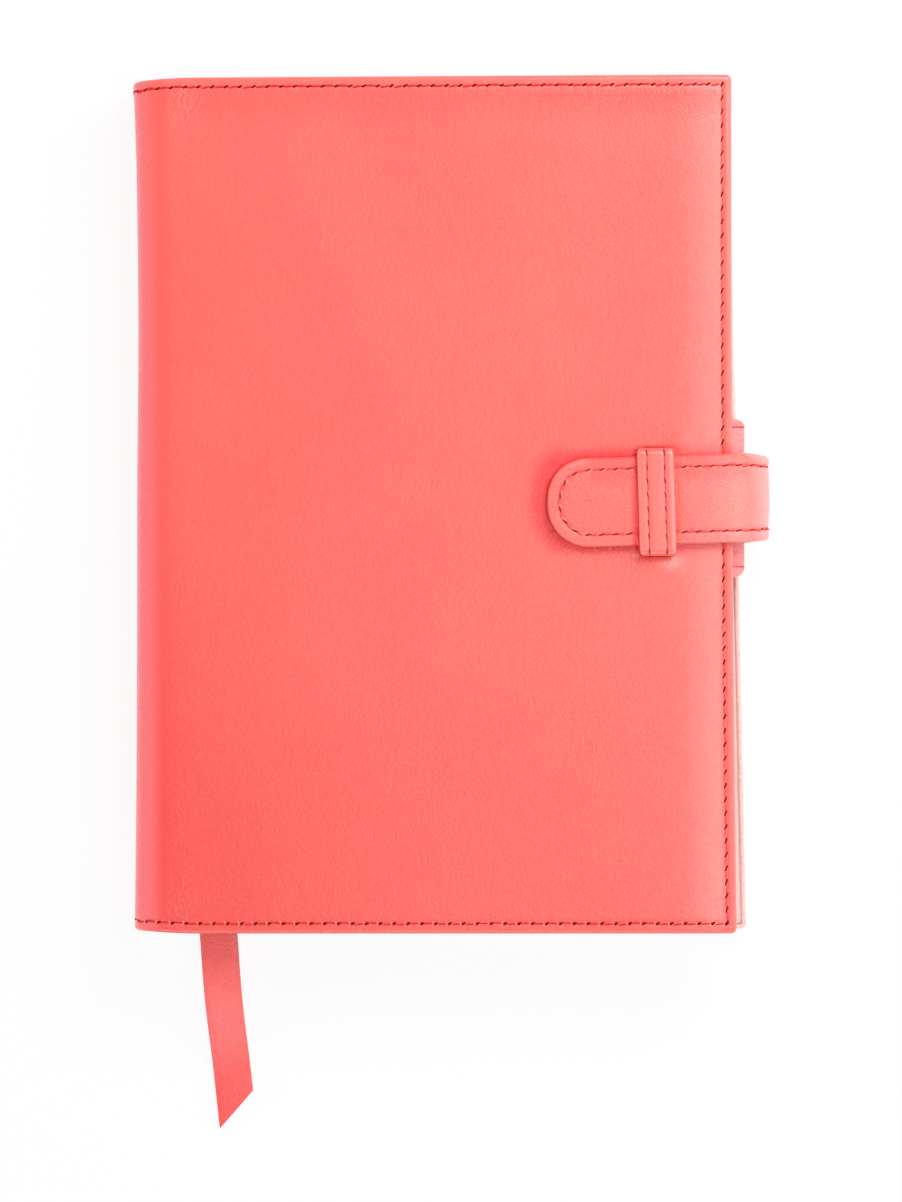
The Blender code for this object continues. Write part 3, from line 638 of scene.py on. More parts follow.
def sewSeam(name, line, pitch, kind, seed=3):
    # a line of (point, normal); returns its thread, the dark pieces that paint the shade in its needle holes
    # and, on soft leather, the pale pinches that paint their highlights
    look = stitch[kind]
    deep = kind in ("head", "tail")
    finishes = {
        "thread": seamThread if deep else loopThread if kind == "loop" else strapThread,
        "holeShade": seamHole if deep or kind == "fore" else strapHole,
        "pinch": pinchLeather,
    }
    shifts = {"thread": (pitch * 0.5, 0.0), "holeShade": (0.0, 0.0), "pinch": look.get("beside")}
    made = []
    for part in [p for p in finishes if p in look]:
        length, thick, rise, slant = look[part]
        start = bpy.data.meshes.new(name + part)
        start.from_pydata([inMetres(p) for p, n in line], [(i, i + 1) for i in range(len(line) - 1)], [])
        ups = start.attributes.new("seamUp", "FLOAT_VECTOR", "POINT")
        ups.data.foreach_set("vector", [c for p, n in line for c in n])
        made.append(growPiece(f"{name}_{part}", start, stitchTree, {
            "Pitch": pitch * 0.9999 * mm,  # a hair short, so that the last stitch fits
            "Length": length * mm,
            "Thickness": thick * mm,
            "Arch": rise * mm,
            "Sink": stitch["sink"] * mm,
            "Slant": radians(slant),
            "Shift": inMetres((*shifts[part], 0.0)),
            "Wander": stitch["wander"],
            "Left Out": 0 if part == "holeShade" else 1,
            "Seed": seed,
            "Thread": finishes[part],
        }))
    return made


cover = {
    "seam": {"fore": 2.6, "head": 2.6, "tail": 2.65},
    "stitches": 61,
    "seamDip": 0.20,
    "dipReach": (0.42, 0.75),  # to the inside of the seam, and to its outside
    "pucker": 0.10,
    "puckerReach": 0.5,
    "rimRise": (0.05, 1.3, 0.7),  # how much, how far outside the seam, and how wide
    "edgeRound": 1.2,
    "crown": (0.90, 0.03),  # at the fore edge, and at head and tail
    "crownReach": 16.0,
    "wall": 4.7,
    "lip": 2.5,
    "bendDeep": 9.2,
    "flare": (0.84, 0.60),  # how far the spine's head and tail stand out past its middle
    "headFlare": 0.6,  # and how far more its last bit at the head, and its upper half, do
    "upperFlare": 0.4,
    "frontSkew": (0.0, 1.4, 2.4),  # fore edge at head and at tail, and how late it swings out
    "backSkew": (-2.4, 2.15, 1.0),
    "rise": (0.12, 0.0060),  # how far the head edge stands out at the middle, and its slope
    "pull": 0.5,  # how far the spine's ends draw in
    "dent": 0.12,
    "dentReach": 1.1,
    # height, place and size of the bulges beside the keeper
    "bulges": ((0.40, 59.8, -15.0, 4.0, 2.0), (0.22, 63.0, 16.4, 3.5, 2.0)),
    "slit": {"x": 57.1, "head": 14.6, "tail": -13.2, "deep": 0.25},
    # the turned edge's foot: how far in, and how far up
    "foot": ((0, 0.40), (0.12, 0.12), (0.40, 0), (0.72, 0), (0.98, 0.12), (book["leather"], 0.40)),
    "edgeInsets": [0, 0.06, 0.16, 0.30, 0.50, 0.80, 1.20, 1.65, 2.10],
    "far": 1000.0,  # inset from the fore edge of what isn't on the panel
}
seamPitch = (2 * book["half"] - cover["seam"]["head"] - cover["seam"]["tail"]) / cover["stitches"]
tongue = {"tip": 29.2, "half": 11.45, "middle": 1.88, "tilt": 1.85, "tipPower": (2.35, 2.05), "fold": 80.0}


def tongueSide(x):
    # the tongue lies a little askew
    return tongue["middle"] - tan(radians(tongue["tilt"])) * max(tongue["fold"] - x, 0.0)


def settled(front, x, y):
    # the soft cover isn't quite square: a place after its small shifts along X and Y
    half = book["half"]
    head, tail = cover["flare"]
    flare = -(head if y > 0 else tail) * abs(y / half) ** 2.4
    flare -= cover["headFlare"] * max(y / half, 0.0) ** 7 + cover["upperFlare"] * smooth(-y, -50.0, 0.0)
    skew = cover["frontSkew" if front else "backSkew"]
    low = (half - y) / (2 * half)
    fore = skew[0] + (skew[1] - skew[0]) * low ** skew[2]
    share = min(max((x - shoulderX) / (book["frontFore"] - shoulderX), 0.0), 1.0)
    pull = cover["pull"] * smooth(-x, 60.0, 74.0)
    rise = cover["rise"][0] + cover["rise"][1] * x - pull if y > 0 else pull
    return x + flare * (1 - share) ** 2 + fore * share, y + rise * abs(y / half) ** 1.5


def crownDrop(front, dx, dy):
    if not front:
        return 0.0
    reach = cover["crownReach"]
    fore, ends = ((1 - min(d / reach, 1.0)) ** 2 * c for d, c in zip((dx, dy), cover["crown"]))
    return hypot(fore, ends)


def edgeDrop(inset):
    return cover["edgeRound"] * (1 - roundOff(inset, cover["edgeRound"]))


def turnShare(station):
    # how far a station of the cover has turned: nought on the panel, one on the spine
    kind, at = station
    return 0.0 if kind == "panel" else at / 90 if kind == "turn" else 1.0


def stationPlace(front, station, drop):
    # X, Z and outward normal of a place on the cover's outside, pushed in by a drop
    kind, at = station
    if kind == "spine":
        x, deep, normal = book["spineX"] + drop, at, (-1.0, 0.0)
    elif kind == "turn":
        r, a = book["shoulder"] - drop, radians(at)
        x, deep, normal = shoulderX - r * sin(a), book["shoulder"] - r * cos(a), (-sin(a), cos(a))
    else:
        x, deep, normal = at, drop, (0.0, 1.0)
    if front:
        return x, book["thick"] - deep, normal
    return x, deep, (normal[0], -normal[1])


def onCover(front, station, drop, y):
    # the settled place, and its normal
    x, z, (nx, nz) = stationPlace(front, station, drop)
    return (*settled(front, x, y), z), (nx, 0.0, nz)


def tipPower(y):
    # the tip is fuller on its upper side
    return tongue["tipPower"][0 if y > 0 else 1]


def besideTongue(x, y):
    # how far a place lies outside the tongue
    across = y - tongueSide(x)
    power = tipPower(across)
    ahead = max(tongue["tip"] + tongue["half"] - x, 0.0)
    return (ahead**power + abs(across) ** power) ** (1 / power) - tongue["half"]


def tipTurn(a):
    # a place on the tip's outline at the angle a from its upper side, for a tongue of half width one
    power = tipPower(cos(a))
    return sin(a) ** (2 / power), copysign(abs(cos(a)) ** (2 / power), cos(a))


# painted shade and painted highlights on the leather, with some deeper tone, carried by the marks on the mesh
tone = {
    "tongueShade": (2.6, 1.0, 3.9),  # reach beside the tongue, and what it gains above it and in front of its tip
    # tail, spine, besideSpine and shoulder: painted shade towards the tail, along the spine and beside it,
    # even round the shoulder
    "tail": 0.22,
    "spine": 0.17,
    "besideSpine": 0.10,
    "shoulder": 0.12,
    # head: painted shade inside the head seam
    "head": 0.16,
    "back": 0.12,
    "spineSkew": 0.021,
    "wearReach": 0.8,
    # reach of the painted highlight along the very edge of the fore rim
    "rimHighlightReach": 0.3,
    "foreSheen": 0.85,  # painted sheen along the fore edge
    "bulgeHighlight": (2.1, 60.2, -14.4, 3.4, 1.9),  # painted highlight on the bulge below the keeper: much, place and size
    "wrinkles": {"head": (-63.0, 102.6, 5.0, 7.0), "tail": (-64.2, -104.5, 4.0, 5.0)},
    "inside": 0.15,
}


def tongueShadeOf(x, y):
    # painted shade beside the tongue, where the pad is pressed in, most of all in front of its tip
    beside, above, ahead = tone["tongueShade"]
    reach = beside + above * smooth(y, 4.0, 9.0) + ahead * smooth(-x, -37.0, -30.0)
    near = besideTongue(x, y)
    tongueShade = smooth(reach - max(near, 0.0), 0.0, 0.9 * reach) * (1 - 0.7 * smooth(-near, 0.6, 5.0))
    return tongueShade * (1 - 0.5 * smooth(x, 50.0, 66.0))


def toSpine(x, y):
    # how far a place lies towards the spine, whose shoulder isn't quite square to the tail
    return -x - tone["spineSkew"] * y


def paintedShadeOf(x, y):
    # painted shade: darker towards the tail, along the spine and beside it, and even round the shoulder
    deep = tone["tail"] * smooth(-y, 0.0, 95.0) * (1 - 0.6 * smooth(x, 50.0, 68.0))
    deep += tone["spine"] * smooth(-y, -60.0, 60.0) * smooth(-x, 15.0, 62.0)
    deep += tone["besideSpine"] * bellOf(toSpine(x, y) - 68.4, 4.0)
    shoulder = smooth(toSpine(x, y), 70.0, 73.5)
    return deep * (1 - shoulder) + tone["shoulder"] * shoulder


def creaseOf(x, y):
    # wrinkles beside the spine at head and tail
    return spotOf(x, y, *tone["wrinkles"]["head" if y > 0 else "tail"])


def padRelief(x, y):
    # dents round the tongue and the slits of the keeper, and the bulges beside them
    rise = -cover["dent"] * bellOf(max(besideTongue(x, y), 0.0), cover["dentReach"])
    rise += sum(high * spotOf(x, y, *place) for high, *place in cover["bulges"])
    rise += 0.05 * sin(x / 17.0 + 1.0) * sin(y / 23.0 + 0.4)
    slit = cover["slit"]
    along = 1 - smooth(abs(x - slit["x"]), 4.0, 5.2)
    return rise - slit["deep"] * along * (bellOf(y - slit["head"], 0.4) + bellOf(y - slit["tail"], 0.4))


def coverMarks(front, station, x, y, dx, dy, inset):
    # marks at a place on the outside: wear and painted highlights, creases, painted shade and deeper tone,
    # and painted reflection
    wornAndSheen = exp(-inset / tone["wearReach"])
    if not front:
        return wornAndSheen, 0.0, tone["back"], 0.0
    kind, at = station
    deep = paintedShadeOf(x, y)
    # painted shade inside the head seam
    if y > 0 and inset > cover["seam"]["head"]:
        drawn = tone["head"] * (1 + smooth(x, 0.0, 60.0)) * (1 - smooth(dy, 5.0, 14.0))
        deep = max(deep, drawn * (1 - smooth(-x, 67.0, 74.0)))
    if kind != "panel":
        # painted reflection of the cool light round the spine's shoulder
        paintedReflection = smooth(toSpine(x, y), 69.0, 73.0) * (1 - smooth(at, 72.0, 90.0))
        return wornAndSheen, 0.0, deep, paintedReflection if kind == "turn" and at else 0.0
    # painted highlights on the bulge below the keeper and along the very fore rim
    pale, *place = tone["bulgeHighlight"]
    wornAndSheen = max(wornAndSheen + exp(-dx / tone["rimHighlightReach"]), pale * spotOf(x, y, *place))
    # painted sheen along the fore edge
    if inset > cover["seam"]["fore"]:
        wornAndSheen = max(wornAndSheen, tone["foreSheen"] * (1 - smooth(dx, 4.0, 14.0)) * (0.85 - 0.3 * y / book["half"]))
    return wornAndSheen, creaseOf(x, y), max(deep, tongueShadeOf(x, y)), 0.0


def coverStations(front, step):
    # stations from the spine to the fore edge, and places along Y; both are closer at edge and seam
    half, fore, insets = book["half"], book["frontFore" if front else "backFore"], cover["edgeInsets"]
    headSeam, foreSeam = half - cover["seam"]["head"], fore - cover["seam"]["fore"]
    ys = [side * (half - d) for d in insets for side in (-1, 1)]
    count = round((headSeam + half - cover["seam"]["tail"]) / step)
    ys += [headSeam - step * k for k in range(count + 1)] + [half - 3.1, 2.3 - half, 3.1 - half]
    if front:
        ys += [14.3 + 0.16 * k for k in range(6)] + [-12.9 - 0.16 * k for k in range(6)]
    xs = [fore - d for d in insets] + [fore - 3.1]
    xs += [foreSeam - step * k for k in range(int((foreSeam - shoulderX) / step) + 1)]
    stations = [("spine", deep) for deep in (book["thick"] / 2, 11.3, 10.2)]
    stations += [("turn", angle) for angle in evenly(90, 0, 15)]
    return stations + [("panel", x) for x in merged([x for x in xs if x > shoulderX + 0.3])], merged(ys, 0.05)


def insideOf(inset):
    # inset of the place on the inside that lies below one on the outside
    reach, thin = cover["crownReach"], book["leather"]
    return inset * (1 - thin / reach) if inset < reach else inset - thin


def makeCover(name, front, fineness):
    half, fore = book["half"], book["frontFore" if front else "backFore"]
    thin, corner, seam = book["leather"], book["corner"], cover["seam"]
    stations, ys = coverStations(front, seamPitch / fineness)
    rows, columns = len(stations), len(ys)
    rise, riseOut, riseWide = cover["rimRise"]
    outer, inner, marks, rims = [], [], [], {}
    for i, station in enumerate(stations):
        panel = station[0] == "panel"
        dxRaw = fore - station[1] if panel else cover["far"]
        for j, yRaw in enumerate(ys):
            side, dyRaw = 1 if yRaw > 0 else -1, half - abs(yRaw)
            dx, dy, inset = roundCorner(dxRaw, dyRaw, corner)
            y = side * (half - dy)
            at = ("panel", fore - dx) if panel else station
            crown = crownDrop(front, dx, dy) * (1 - turnShare(station))
            drop = edgeDrop(inset) + crown
            off = inset - seam["tail" if yRaw < 0 and dy < dx else "head"]
            drop += cover["seamDip"] * bellOf(off, cover["dipReach"][0 if off > 0 else 1])
            drop -= rise * bellOf(off + riseOut, riseWide)
            if abs(off) < 1.5:
                # the thread pulls the leather in at each needle hole
                run = fore - seam["fore"] - station[1] if dy < dx and panel else half - seam["head"] - yRaw
                pucker = cover["pucker"] * bellOf(off, cover["puckerReach"])
                drop += pucker * (0.5 + 0.5 * cos(2 * pi * run / seamPitch))
            if front and panel:
                drop -= padRelief(at[1], y) * smooth(inset, 0.8, 5.0)
            x = stationPlace(front, at, drop)[0]
            outer.append(onCover(front, at, drop, y)[0])
            marks.append(coverMarks(front, station, x, y, dx, dy, inset))

            dxIn, dyIn = roundCorner(insideOf(dxRaw), insideOf(dyRaw), corner - thin)[:2]
            below = ("panel", fore - thin - dxIn) if panel else station
            inner.append(onCover(front, below, thin + crown, side * (half - thin - dyIn))[0])

            if j in (0, columns - 1) or i == rows - 1:
                # the turned edge: down the outside, round its foot and up the inside
                ox, oy = (0.0, float(side)) if j in (0, columns - 1) else (1.0, 0.0)
                if panel and max(dxRaw, dyRaw) < corner:
                    ox, oy = (corner - dx) / corner, side * (corner - dy) / corner
                deep = cover["lip"]
                if panel:
                    deep += (cover["wall"] - deep) * smooth(station[1], shoulderX, shoulderX + 5.0)
                rims[(i, j)] = []
                for inn, up in cover["foot"]:
                    foot = ("panel", fore - dx - ox * inn) if panel else station
                    down = max(deep - up, edgeDrop(0) + crown + 0.02)
                    rims[(i, j)].append(onCover(front, foot, down, y - oy * inn)[0])

    points = outer + inner
    faces = gridFaces(rows, columns) + gridFaces(rows, columns, len(outer))
    around = [(i, columns - 1) for i in range(rows)] + [(rows - 1, j) for j in range(columns - 2, -1, -1)]
    around += [(i, 0) for i in range(rows - 2, -1, -1)]
    chains = []
    for i, j in around:
        first = len(points)
        points += rims[(i, j)]
        spot = i * columns + j
        chains.append([spot, *range(first, len(points)), len(outer) + spot])
    for one, two in zip(chains, chains[1:]):
        faces += [(one[k], two[k], two[k + 1], one[k + 1]) for k in range(len(one) - 1)]
    faces += [(j, j + 1, len(outer) + j + 1, len(outer) + j) for j in range(columns - 1)]
    faces += [tuple(chains[0]), tuple(chains[-1])]
    edge, crease, shadeAndTone, paintedReflection = (list(values) for values in zip(*marks))
    rest = len(points) - len(outer)
    if front:
        edge += [tone["inside"]] * rest
    else:
        # painted highlight: only the back cover's fore rim keeps its edge mark, in the pale colour
        wornAndSheen = [smooth(x, 66.0, 76.0) * smooth(z, 1.3, 4.2) for x, y, z in points]
        edge = [v * w for v, w in zip(edge + [1.0] * rest, wornAndSheen)]
    plain = [0.0] * rest
    marks = {"edge": edge, "crease": crease + plain, "shadeAndTone": shadeAndTone + plain, "paintedReflection": paintedReflection + plain}
    return makePiece(name, points, faces, coverLeather if front else backLeather, 50, marks)


def coverSeams(front):
    # the seam lines of one cover: head and tail run on over the shoulder to the middle of the spine
    half, fore, seam = book["half"], book["frontFore" if front else "backFore"], cover["seam"]
    start, top, low = fore - seam["fore"], half - seam["head"], seam["tail"] - half

    def place(station, dx, dy, y):
        share = turnShare(station)
        crown = crownDrop(front, dx, dy) * (1 - share)
        return onCover(front, station, crown + cover["seamDip"] + (0.02 + 0.2 * share), y)

    over = [("panel", start - 1.5 * k) for k in range(int((start - shoulderX) / 1.5) + 1)]
    over += [("turn", angle) for angle in evenly(0, 90, 15)]
    over += [("spine", deep) for deep in (9.5, 10.5, book["thick"] / 2 - 0.3)]
    lines = {}
    for end, y in (("head", top), ("tail", low)):
        far = cover["far"]
        lines[end] = [place(s, fore - s[1] if s[0] == "panel" else far, seam[end], y) for s in over]
    down = evenly(top, low, 150)
    lines["fore"] = [place(("panel", start), seam["fore"], half - abs(y), y) for y in down]
    return lines


def bendCover(front, piece):
    # the piece's placement is baked into its mesh
    high, deep = book["thick"] if front else 0.0, cover["bendDeep"]
    start = inMetres((book["spineX"], 0, high - deep if front else deep))
    body = "front_cover" if front else "back_cover"
    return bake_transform(piece, "spine", body, start=start, end=inMetres((shoulderX, 0, high)))


# each cover's fineness, the seed of its seams and the nodes that it replaces
covers = {
    "front": (3, 3, ("front_leather", "front_joint_leather", "spine_leather")),
    "back": (2, 5, ("back_leather", "back_joint_leather")),
}
for side, (fineness, seed, nodes) in covers.items():
    piece = bendCover(side == "front", makeCover(side + "_cover_leather", side == "front", fineness))
    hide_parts(*nodes)
    print(side, "cover made:", len(piece.data.vertices), "points")
for side, (fineness, seed, nodes) in covers.items():
    for edge, line in coverSeams(side == "front").items():
        for piece in sewSeam(f"{side}_{edge}_seam", line, seamPitch, edge, seed):
            bendCover(side == "front", piece)


strap = {
    "middle": 26.04,  # height of the tongue's middle
    "wrapX": 85.15,
    "taper": (0.045, 79.5, 85.1),  # share that its width draws in by at the fold, and from where to where
    "bend": 8.0,
    "sag": (62.0, 0.0026),  # from where, and how fast, the tongue falls towards the fore edge
    "crown": 0.28,
    "keeperShade": ((51.9, 0.85), (62.5, 0.35)),  # painted shade beside the keeper
    "drawn": (0.35, 0.5),  # painted shade inside the seam, and outside it
    "light": (0.6, 77.8, 2.8),  # how much painted sheen before the fold, where, and how wide
    # painted highlight over the fold
    "foldLight": 0.42,
    "keeperShadeSteps": (-2, -1.5, -1, -0.6, -0.3, 0, 0.3, 0.6),
    "lower": (80.15, 7.35, 5.0),  # X, Z and radius of its bend below the fore edge
    "rootZ": 2.35,
    "rootX": 66.0,
    "rootThick": 1.6,
    "thick": 2.8,
    "join": 12.7,
    "seam": 3.1,
    "pitch": 3.45,
    "tipSteps": 28,
    # insets of its section's points, from the middle of the top round one edge to the middle underneath
    "above": [9.0, 7.0, 5.4, 4.4, 3.9, 3.5, 3.3, 3.1, 2.9, 2.7, 2.3, 1.8, 1.3, 0.9, 0.55, 0.28, 0.1],
    "under": [0.1, 0.3, 0.6, 1.0, 2.0, 5.0, 8.0],
}
tipMiddle = tongue["tip"] + tongue["half"]


def strapBend():
    # X, Z and radius of the bend over the fore edge, and the slope that the tongue reaches it with
    (start, rate), r = strap["sag"], strap["bend"]
    x = strap["wrapX"] - r
    lean = atan(2 * rate * (x + 0.6 - start))
    end = x + r * sin(lean)
    return (x, strap["middle"] - rate * (end - start) ** 2 - r * cos(lean), r), lean


def strapHeight(inset, top):
    # half thickness of the padded strap at an inset from its edge
    if not top:
        return -strap["thick"] / 2 * roundOff(inset, 0.8)
    middle = strap["crown"] * (1 - min((tongue["half"] - inset) / 8.0, 1.0) ** 2)
    dip = 0.16 * smooth(inset, 2.0, 3.2) + 0.30 * bellOf(inset - strap["seam"], 0.5)
    return strap["thick"] / 2 * roundOff(inset, 1.35) - dip + middle


def halfSection():
    # (offset from the middle line, height) of one half of the strap
    half = tongue["half"]
    section = [(half - d, strapHeight(d, True)) for d in [half, *strap["above"]]] + [(half, 0.0)]
    return section + [(half - d, strapHeight(d, False)) for d in [*strap["under"], half]]


strapSection = halfSection()
strapRound = strapSection + [(-o, h) for o, h in strapSection[-2:0:-1]]


def strapTaper(x):
    much, first, last = strap["taper"]
    return 1 - much * smooth(x, first, last)


def strapRing(x, z, nx, nz, scale=1.0):
    ring = []
    for o, h in strapRound:
        at = x + nx * h * scale
        ring.append((at, tongueSide(at) + o * strapTaper(x), z + nz * h * scale))
    return ring


def strapWear(o, h):
    return bellOf(tongue["half"] - abs(o) - 0.5, 0.6) if h > -0.5 else 0.1


def upperSpots():
    # (x, z) of the strap's middle with its outward normal, from the fore edge to where the tip starts
    bend, lean = strapBend()
    join, (start, rate) = strap["join"], strap["sag"]
    spots = [(strap["wrapX"], z, 1.0, 0.0) for z in evenly(join, bend[1], 4)[:-1]]
    spots += bendSpots(bend, 0, 90 - degrees(lean), 16)
    runs = [tipMiddle + 1.2 * k for k in range(31)]
    runs += [at + d for at, much in strap["keeperShade"] for d in strap["keeperShadeSteps"]]
    for run in reversed(merged([v for v in runs if v < spots[-1][0] - 0.4], 0.15)):
        over = max(run - start, 0.0)
        a = atan(2 * rate * over)
        spots.append((run, strap["middle"] - rate * over**2, sin(a), cos(a)))
    return spots


def lowerSpots():
    # the same down to the root, with the share of its thickness that is left
    x, foot = strap["lower"][0], strap["rootZ"]
    thin = strap["rootThick"] / strap["thick"]
    spots = [(strap["wrapX"], strap["join"] - 1.3 * k, 1.0, 0.0, 1.0) for k in range(4)]
    for spot in bendSpots(strap["lower"], 0, -90, 12):
        spots.append((*spot, thin + (1 - thin) * smooth(spot[1], foot, foot + 2.5)))
    return spots + [(at, foot, 0.0, -1.0, thin) for at in evenly(x, strap["rootX"], 5)[1:]]


def strapShadeOf(x, y, z):
    # painted shade beside the keeper, and inside the seam on the upper side and on the rim outside it
    if z < strap["middle"]:
        return 0.0
    inside = tongue["half"] - strap["seam"] - (y - tongueSide(x))
    inner, outer = strap["drawn"]
    drawn = inner * (1 - smooth(inside, 0.0, 6.0)) if inside > 0 else outer * smooth(-inside, 0.8, 2.2)
    return max(drawn, *(much * bellOf(x - at, 0.9) for at, much in strap["keeperShade"]))


def strapSheenOf(x):
    # painted sheen: lighter towards the fold, most of all just before it
    much, middle, wide = strap["light"]
    return smooth(x, 60.0, 80.0) + much * bellOf(x - middle, wide)


def foldSheenOf(x, z):
    # painted highlight over the fold itself
    return strap["foldLight"] * smooth(x, 80.8, 87.0) * smooth(z, 13.5, 20.0)


def makeUpperStrap():
    rings = [strapRing(*spot) for spot in upperSpots()]
    points, faces = loft(rings)
    wearAndSheen = [strapWear(o, h) + strapSheenOf(p[0]) for p, (o, h) in zip(points, strapRound * len(rings))]
    strapShade = [strapShadeOf(*p) for p in points]
    faces.pop()
    # the round tip: half of the section swings about the middle of the last ring
    n, wide, steps = len(strapSection), len(strapRound), strap["tipSteps"]
    last = (len(rings) - 1) * wide
    fans = [[last + k for k in range(n)]]
    for k in range(1, steps):
        ahead, across = tipTurn(pi * k / steps)
        first = len(points)
        for o, h in strapSection[1:-1]:
            x = tipMiddle - o * ahead
            points.append((x, tongueSide(x) + o * across, strap["middle"] + h))
            wearAndSheen.append(strapWear(o, h))
        fans.append([last, *range(first, len(points)), last + n - 1])
    fans.append([last] + [last + wide - k for k in range(1, n - 1)] + [last + n - 1])
    for one, two in zip(fans, fans[1:]):
        quads = [(one[k], one[k + 1], two[k + 1], two[k]) for k in range(n - 1)]
        faces += [tuple(dict.fromkeys(quad)) for quad in quads]
    strapShade += [0.0] * (len(points) - len(strapShade))
    marks = {"edge": wearAndSheen, "shadeAndTone": strapShade, "paintedReflection": [foldSheenOf(x, z) for x, y, z in points]}
    return makePiece("strap_upper", points, faces, strapLeather, 50, marks)


def strapSeams(spots, tip, top):
    # the seam on the strap's outside, or on its lining
    line, way = tongue["half"] - strap["seam"], 1.0 if top else -1.0
    up = strapHeight(strap["seam"], top) + 0.02 * way

    def place(side, x, z, nx, nz, scale=1.0):
        spot = (x + nx * up * scale, tongueSide(x) + side * strapTaper(x), z + nz * up * scale)
        return spot, (nx * way, 0.0, nz * way)

    sides = [[place(side, *spot) for spot in spots] for side in (line, -line)]
    if not tip:
        return sides
    turn = []
    for ahead, across in (tipTurn(pi * k / 24) for k in range(1, 24)):
        turn.append(place(line * across, tipMiddle - line * ahead, strap["middle"], 0.0, 1.0))
    return [sides[0] + turn + sides[1][::-1]]


def bendTongue(piece):
    x, z, r = strapBend()[0]
    start, end = inMetres((x + r, 0, z)), inMetres((x, 0, z + r))
    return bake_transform(piece)


def bendWrap(piece):
    x, z, r = strap["lower"]
    start, end = inMetres((x, 0, z - r)), inMetres((x + r, 0, z))
    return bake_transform(piece)


upperStrap = bendTongue(makeUpperStrap())
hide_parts("strap_tongue", "strap_tongue_lining")
lowerRings = [strapRing(*spot) for spot in lowerSpots()]
# painted sheen on the lower strap, fading out towards its root
lowerSheen = [smooth(spot[1], 4.0, strap["join"]) for spot in lowerSpots()]
lowerWearAndSheen = [strapWear(o, h) + light for light in lowerSheen for o, h in strapRound]
lowerStrap = bendWrap(makePiece("strap_lower", *loft(lowerRings), strapLeather, 50, {"edge": lowerWearAndSheen}))
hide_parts("strap_wrap", "strap_wrap_lining", "strap_root")
strapPieces = [upperStrap, lowerStrap]
outSpots = [spot for spot in lowerSpots() if spot[0] > strap["lower"][0] + 0.5]
for place, kind in (("", "strap"), ("_under", "under")):
    line = strapSeams(upperSpots(), True, kind == "strap")[0]
    strapPieces += [bendTongue(p) for p in sewSeam(f"strap_upper{place}_seam", line, strap["pitch"], kind, 7)]
    for side, line in zip(("head", "tail"), strapSeams(outSpots, False, kind == "strap")):
        seam = sewSeam(f"strap_lower{place}_{side}_seam", line, strap["pitch"], kind, 8)
        strapPieces += [bendWrap(p) for p in seam]
print("strap made")


keeper = {
    "x": cover["slit"]["x"],
    "half": 4.7,
    "thick": 1.2,
    "head": 13.9,  # middle of the legs
    "tail": -12.5,
    "top": 28.19,
    "foot": 23.0,
    "bend": 1.2,
    "lean": 0.03,
    "draw": 0.1,  # share that its width draws in by where it turns down
    "seams": {"left": -2.2, "right": 2.3},
    "pitch": 3.3,
    "slitWide": 0.36,
    "curl": 0.1,  # how far the slits' ends turn round the corners of the legs
    # places across its upper side, closer at the edges and the seams
    "across": [
        -4.7, -4.62, -4.45, -4.2, -3.8, -3.3, -2.8, -2.5, -2.2, -1.9, -1.5, -0.7,
        0.3, 1.2, 1.9, 2.3, 2.6, 2.9, 3.3, 3.7, 4.1, 4.4, 4.6, 4.7,
    ],
    "under": ((4.5, -0.35), (4.1, -0.6), (0.0, -0.6), (-4.1, -0.6), (-4.5, -0.35)),
}


def keeperSpots():
    # (y, z) of the band's middle with its outward normal
    head, tail, foot, r = (keeper[key] for key in ("head", "tail", "foot", "bend"))
    top = keeper["top"] - r
    spots = [(head, z, 1.0, 0.0) for z in evenly(foot, top, 4)[:-1]]
    spots += bendSpots((head - r, top, r), 0, 90, 7)
    spots += [(y, keeper["top"], 0.0, 1.0) for y in evenly(head - r, tail + r, 24)[1:-1]]
    spots += bendSpots((tail + r, top, r), 90, 180, 7)
    return spots + [(tail, z, -1.0, 0.0) for z in evenly(top, foot, 4)[1:]]


def keeperHeight(across):
    rim = keeper["thick"] / 2 * roundOff(keeper["half"] - abs(across), 0.75)
    return rim * 1.12 - 0.09 * sum(bellOf(across - s, 0.4) for s in keeper["seams"].values())


keeperSection = [*((a, keeperHeight(a)) for a in keeper["across"]), *keeper["under"]]


def keeperPoint(y, across):
    return keeper["x"] + across - keeper["lean"] * (y - 1.0)


def keeperRing(y, z, ny, nz):
    wide = 1 - keeper["draw"] * (1 - nz)
    return [(keeperPoint(y, a * wide), y + ny * h, z + nz * h) for a, h in keeperSection]


def keeperWearAndHighlight(a, h):
    # worn along its edges, with a painted highlight on the side of the fore edge
    much = 1.6 if a > 0 else 1.0
    return much * bellOf(keeper["half"] - abs(a) - 0.4, 0.45) if h > 0 else 0.1


keeperRings = [keeperRing(*spot) for spot in keeperSpots()]
keeperMarks = {"edge": [keeperWearAndHighlight(*spot) for spot in keeperSection] * len(keeperRings)}
keeperBand = makePiece("keeper_band", *loft(keeperRings), keeperLeather, 50, keeperMarks)
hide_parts("keeper")
keeperPieces = [keeperBand]
for side, across in keeper["seams"].items():
    # the rows run between the two bends
    up = keeperHeight(across) + 0.02
    line = []
    for y, z, ny, nz in keeperSpots():
        if nz > 0.95:
            line.append(((keeperPoint(y, across), y + ny * up, z + nz * up), (0.0, ny, nz)))
    keeperPieces += sewSeam(f"keeper_{side}_seam", line, keeper["pitch"], "keeper", 11)


def slitRing(y, across, share):
    # a thin dark lens lying in the leather, which paints the shade in the slit
    size = keeper["slitWide"] / 2 * sqrt(max(1 - share**6, 0.02))
    x = keeperPoint(y, across)
    z = book["thick"] + padRelief(x, y) + 0.02
    return [(x, y + size * cos(a), z + 0.5 * size * sin(a)) for a in (pi * k / 4 for k in range(8))]


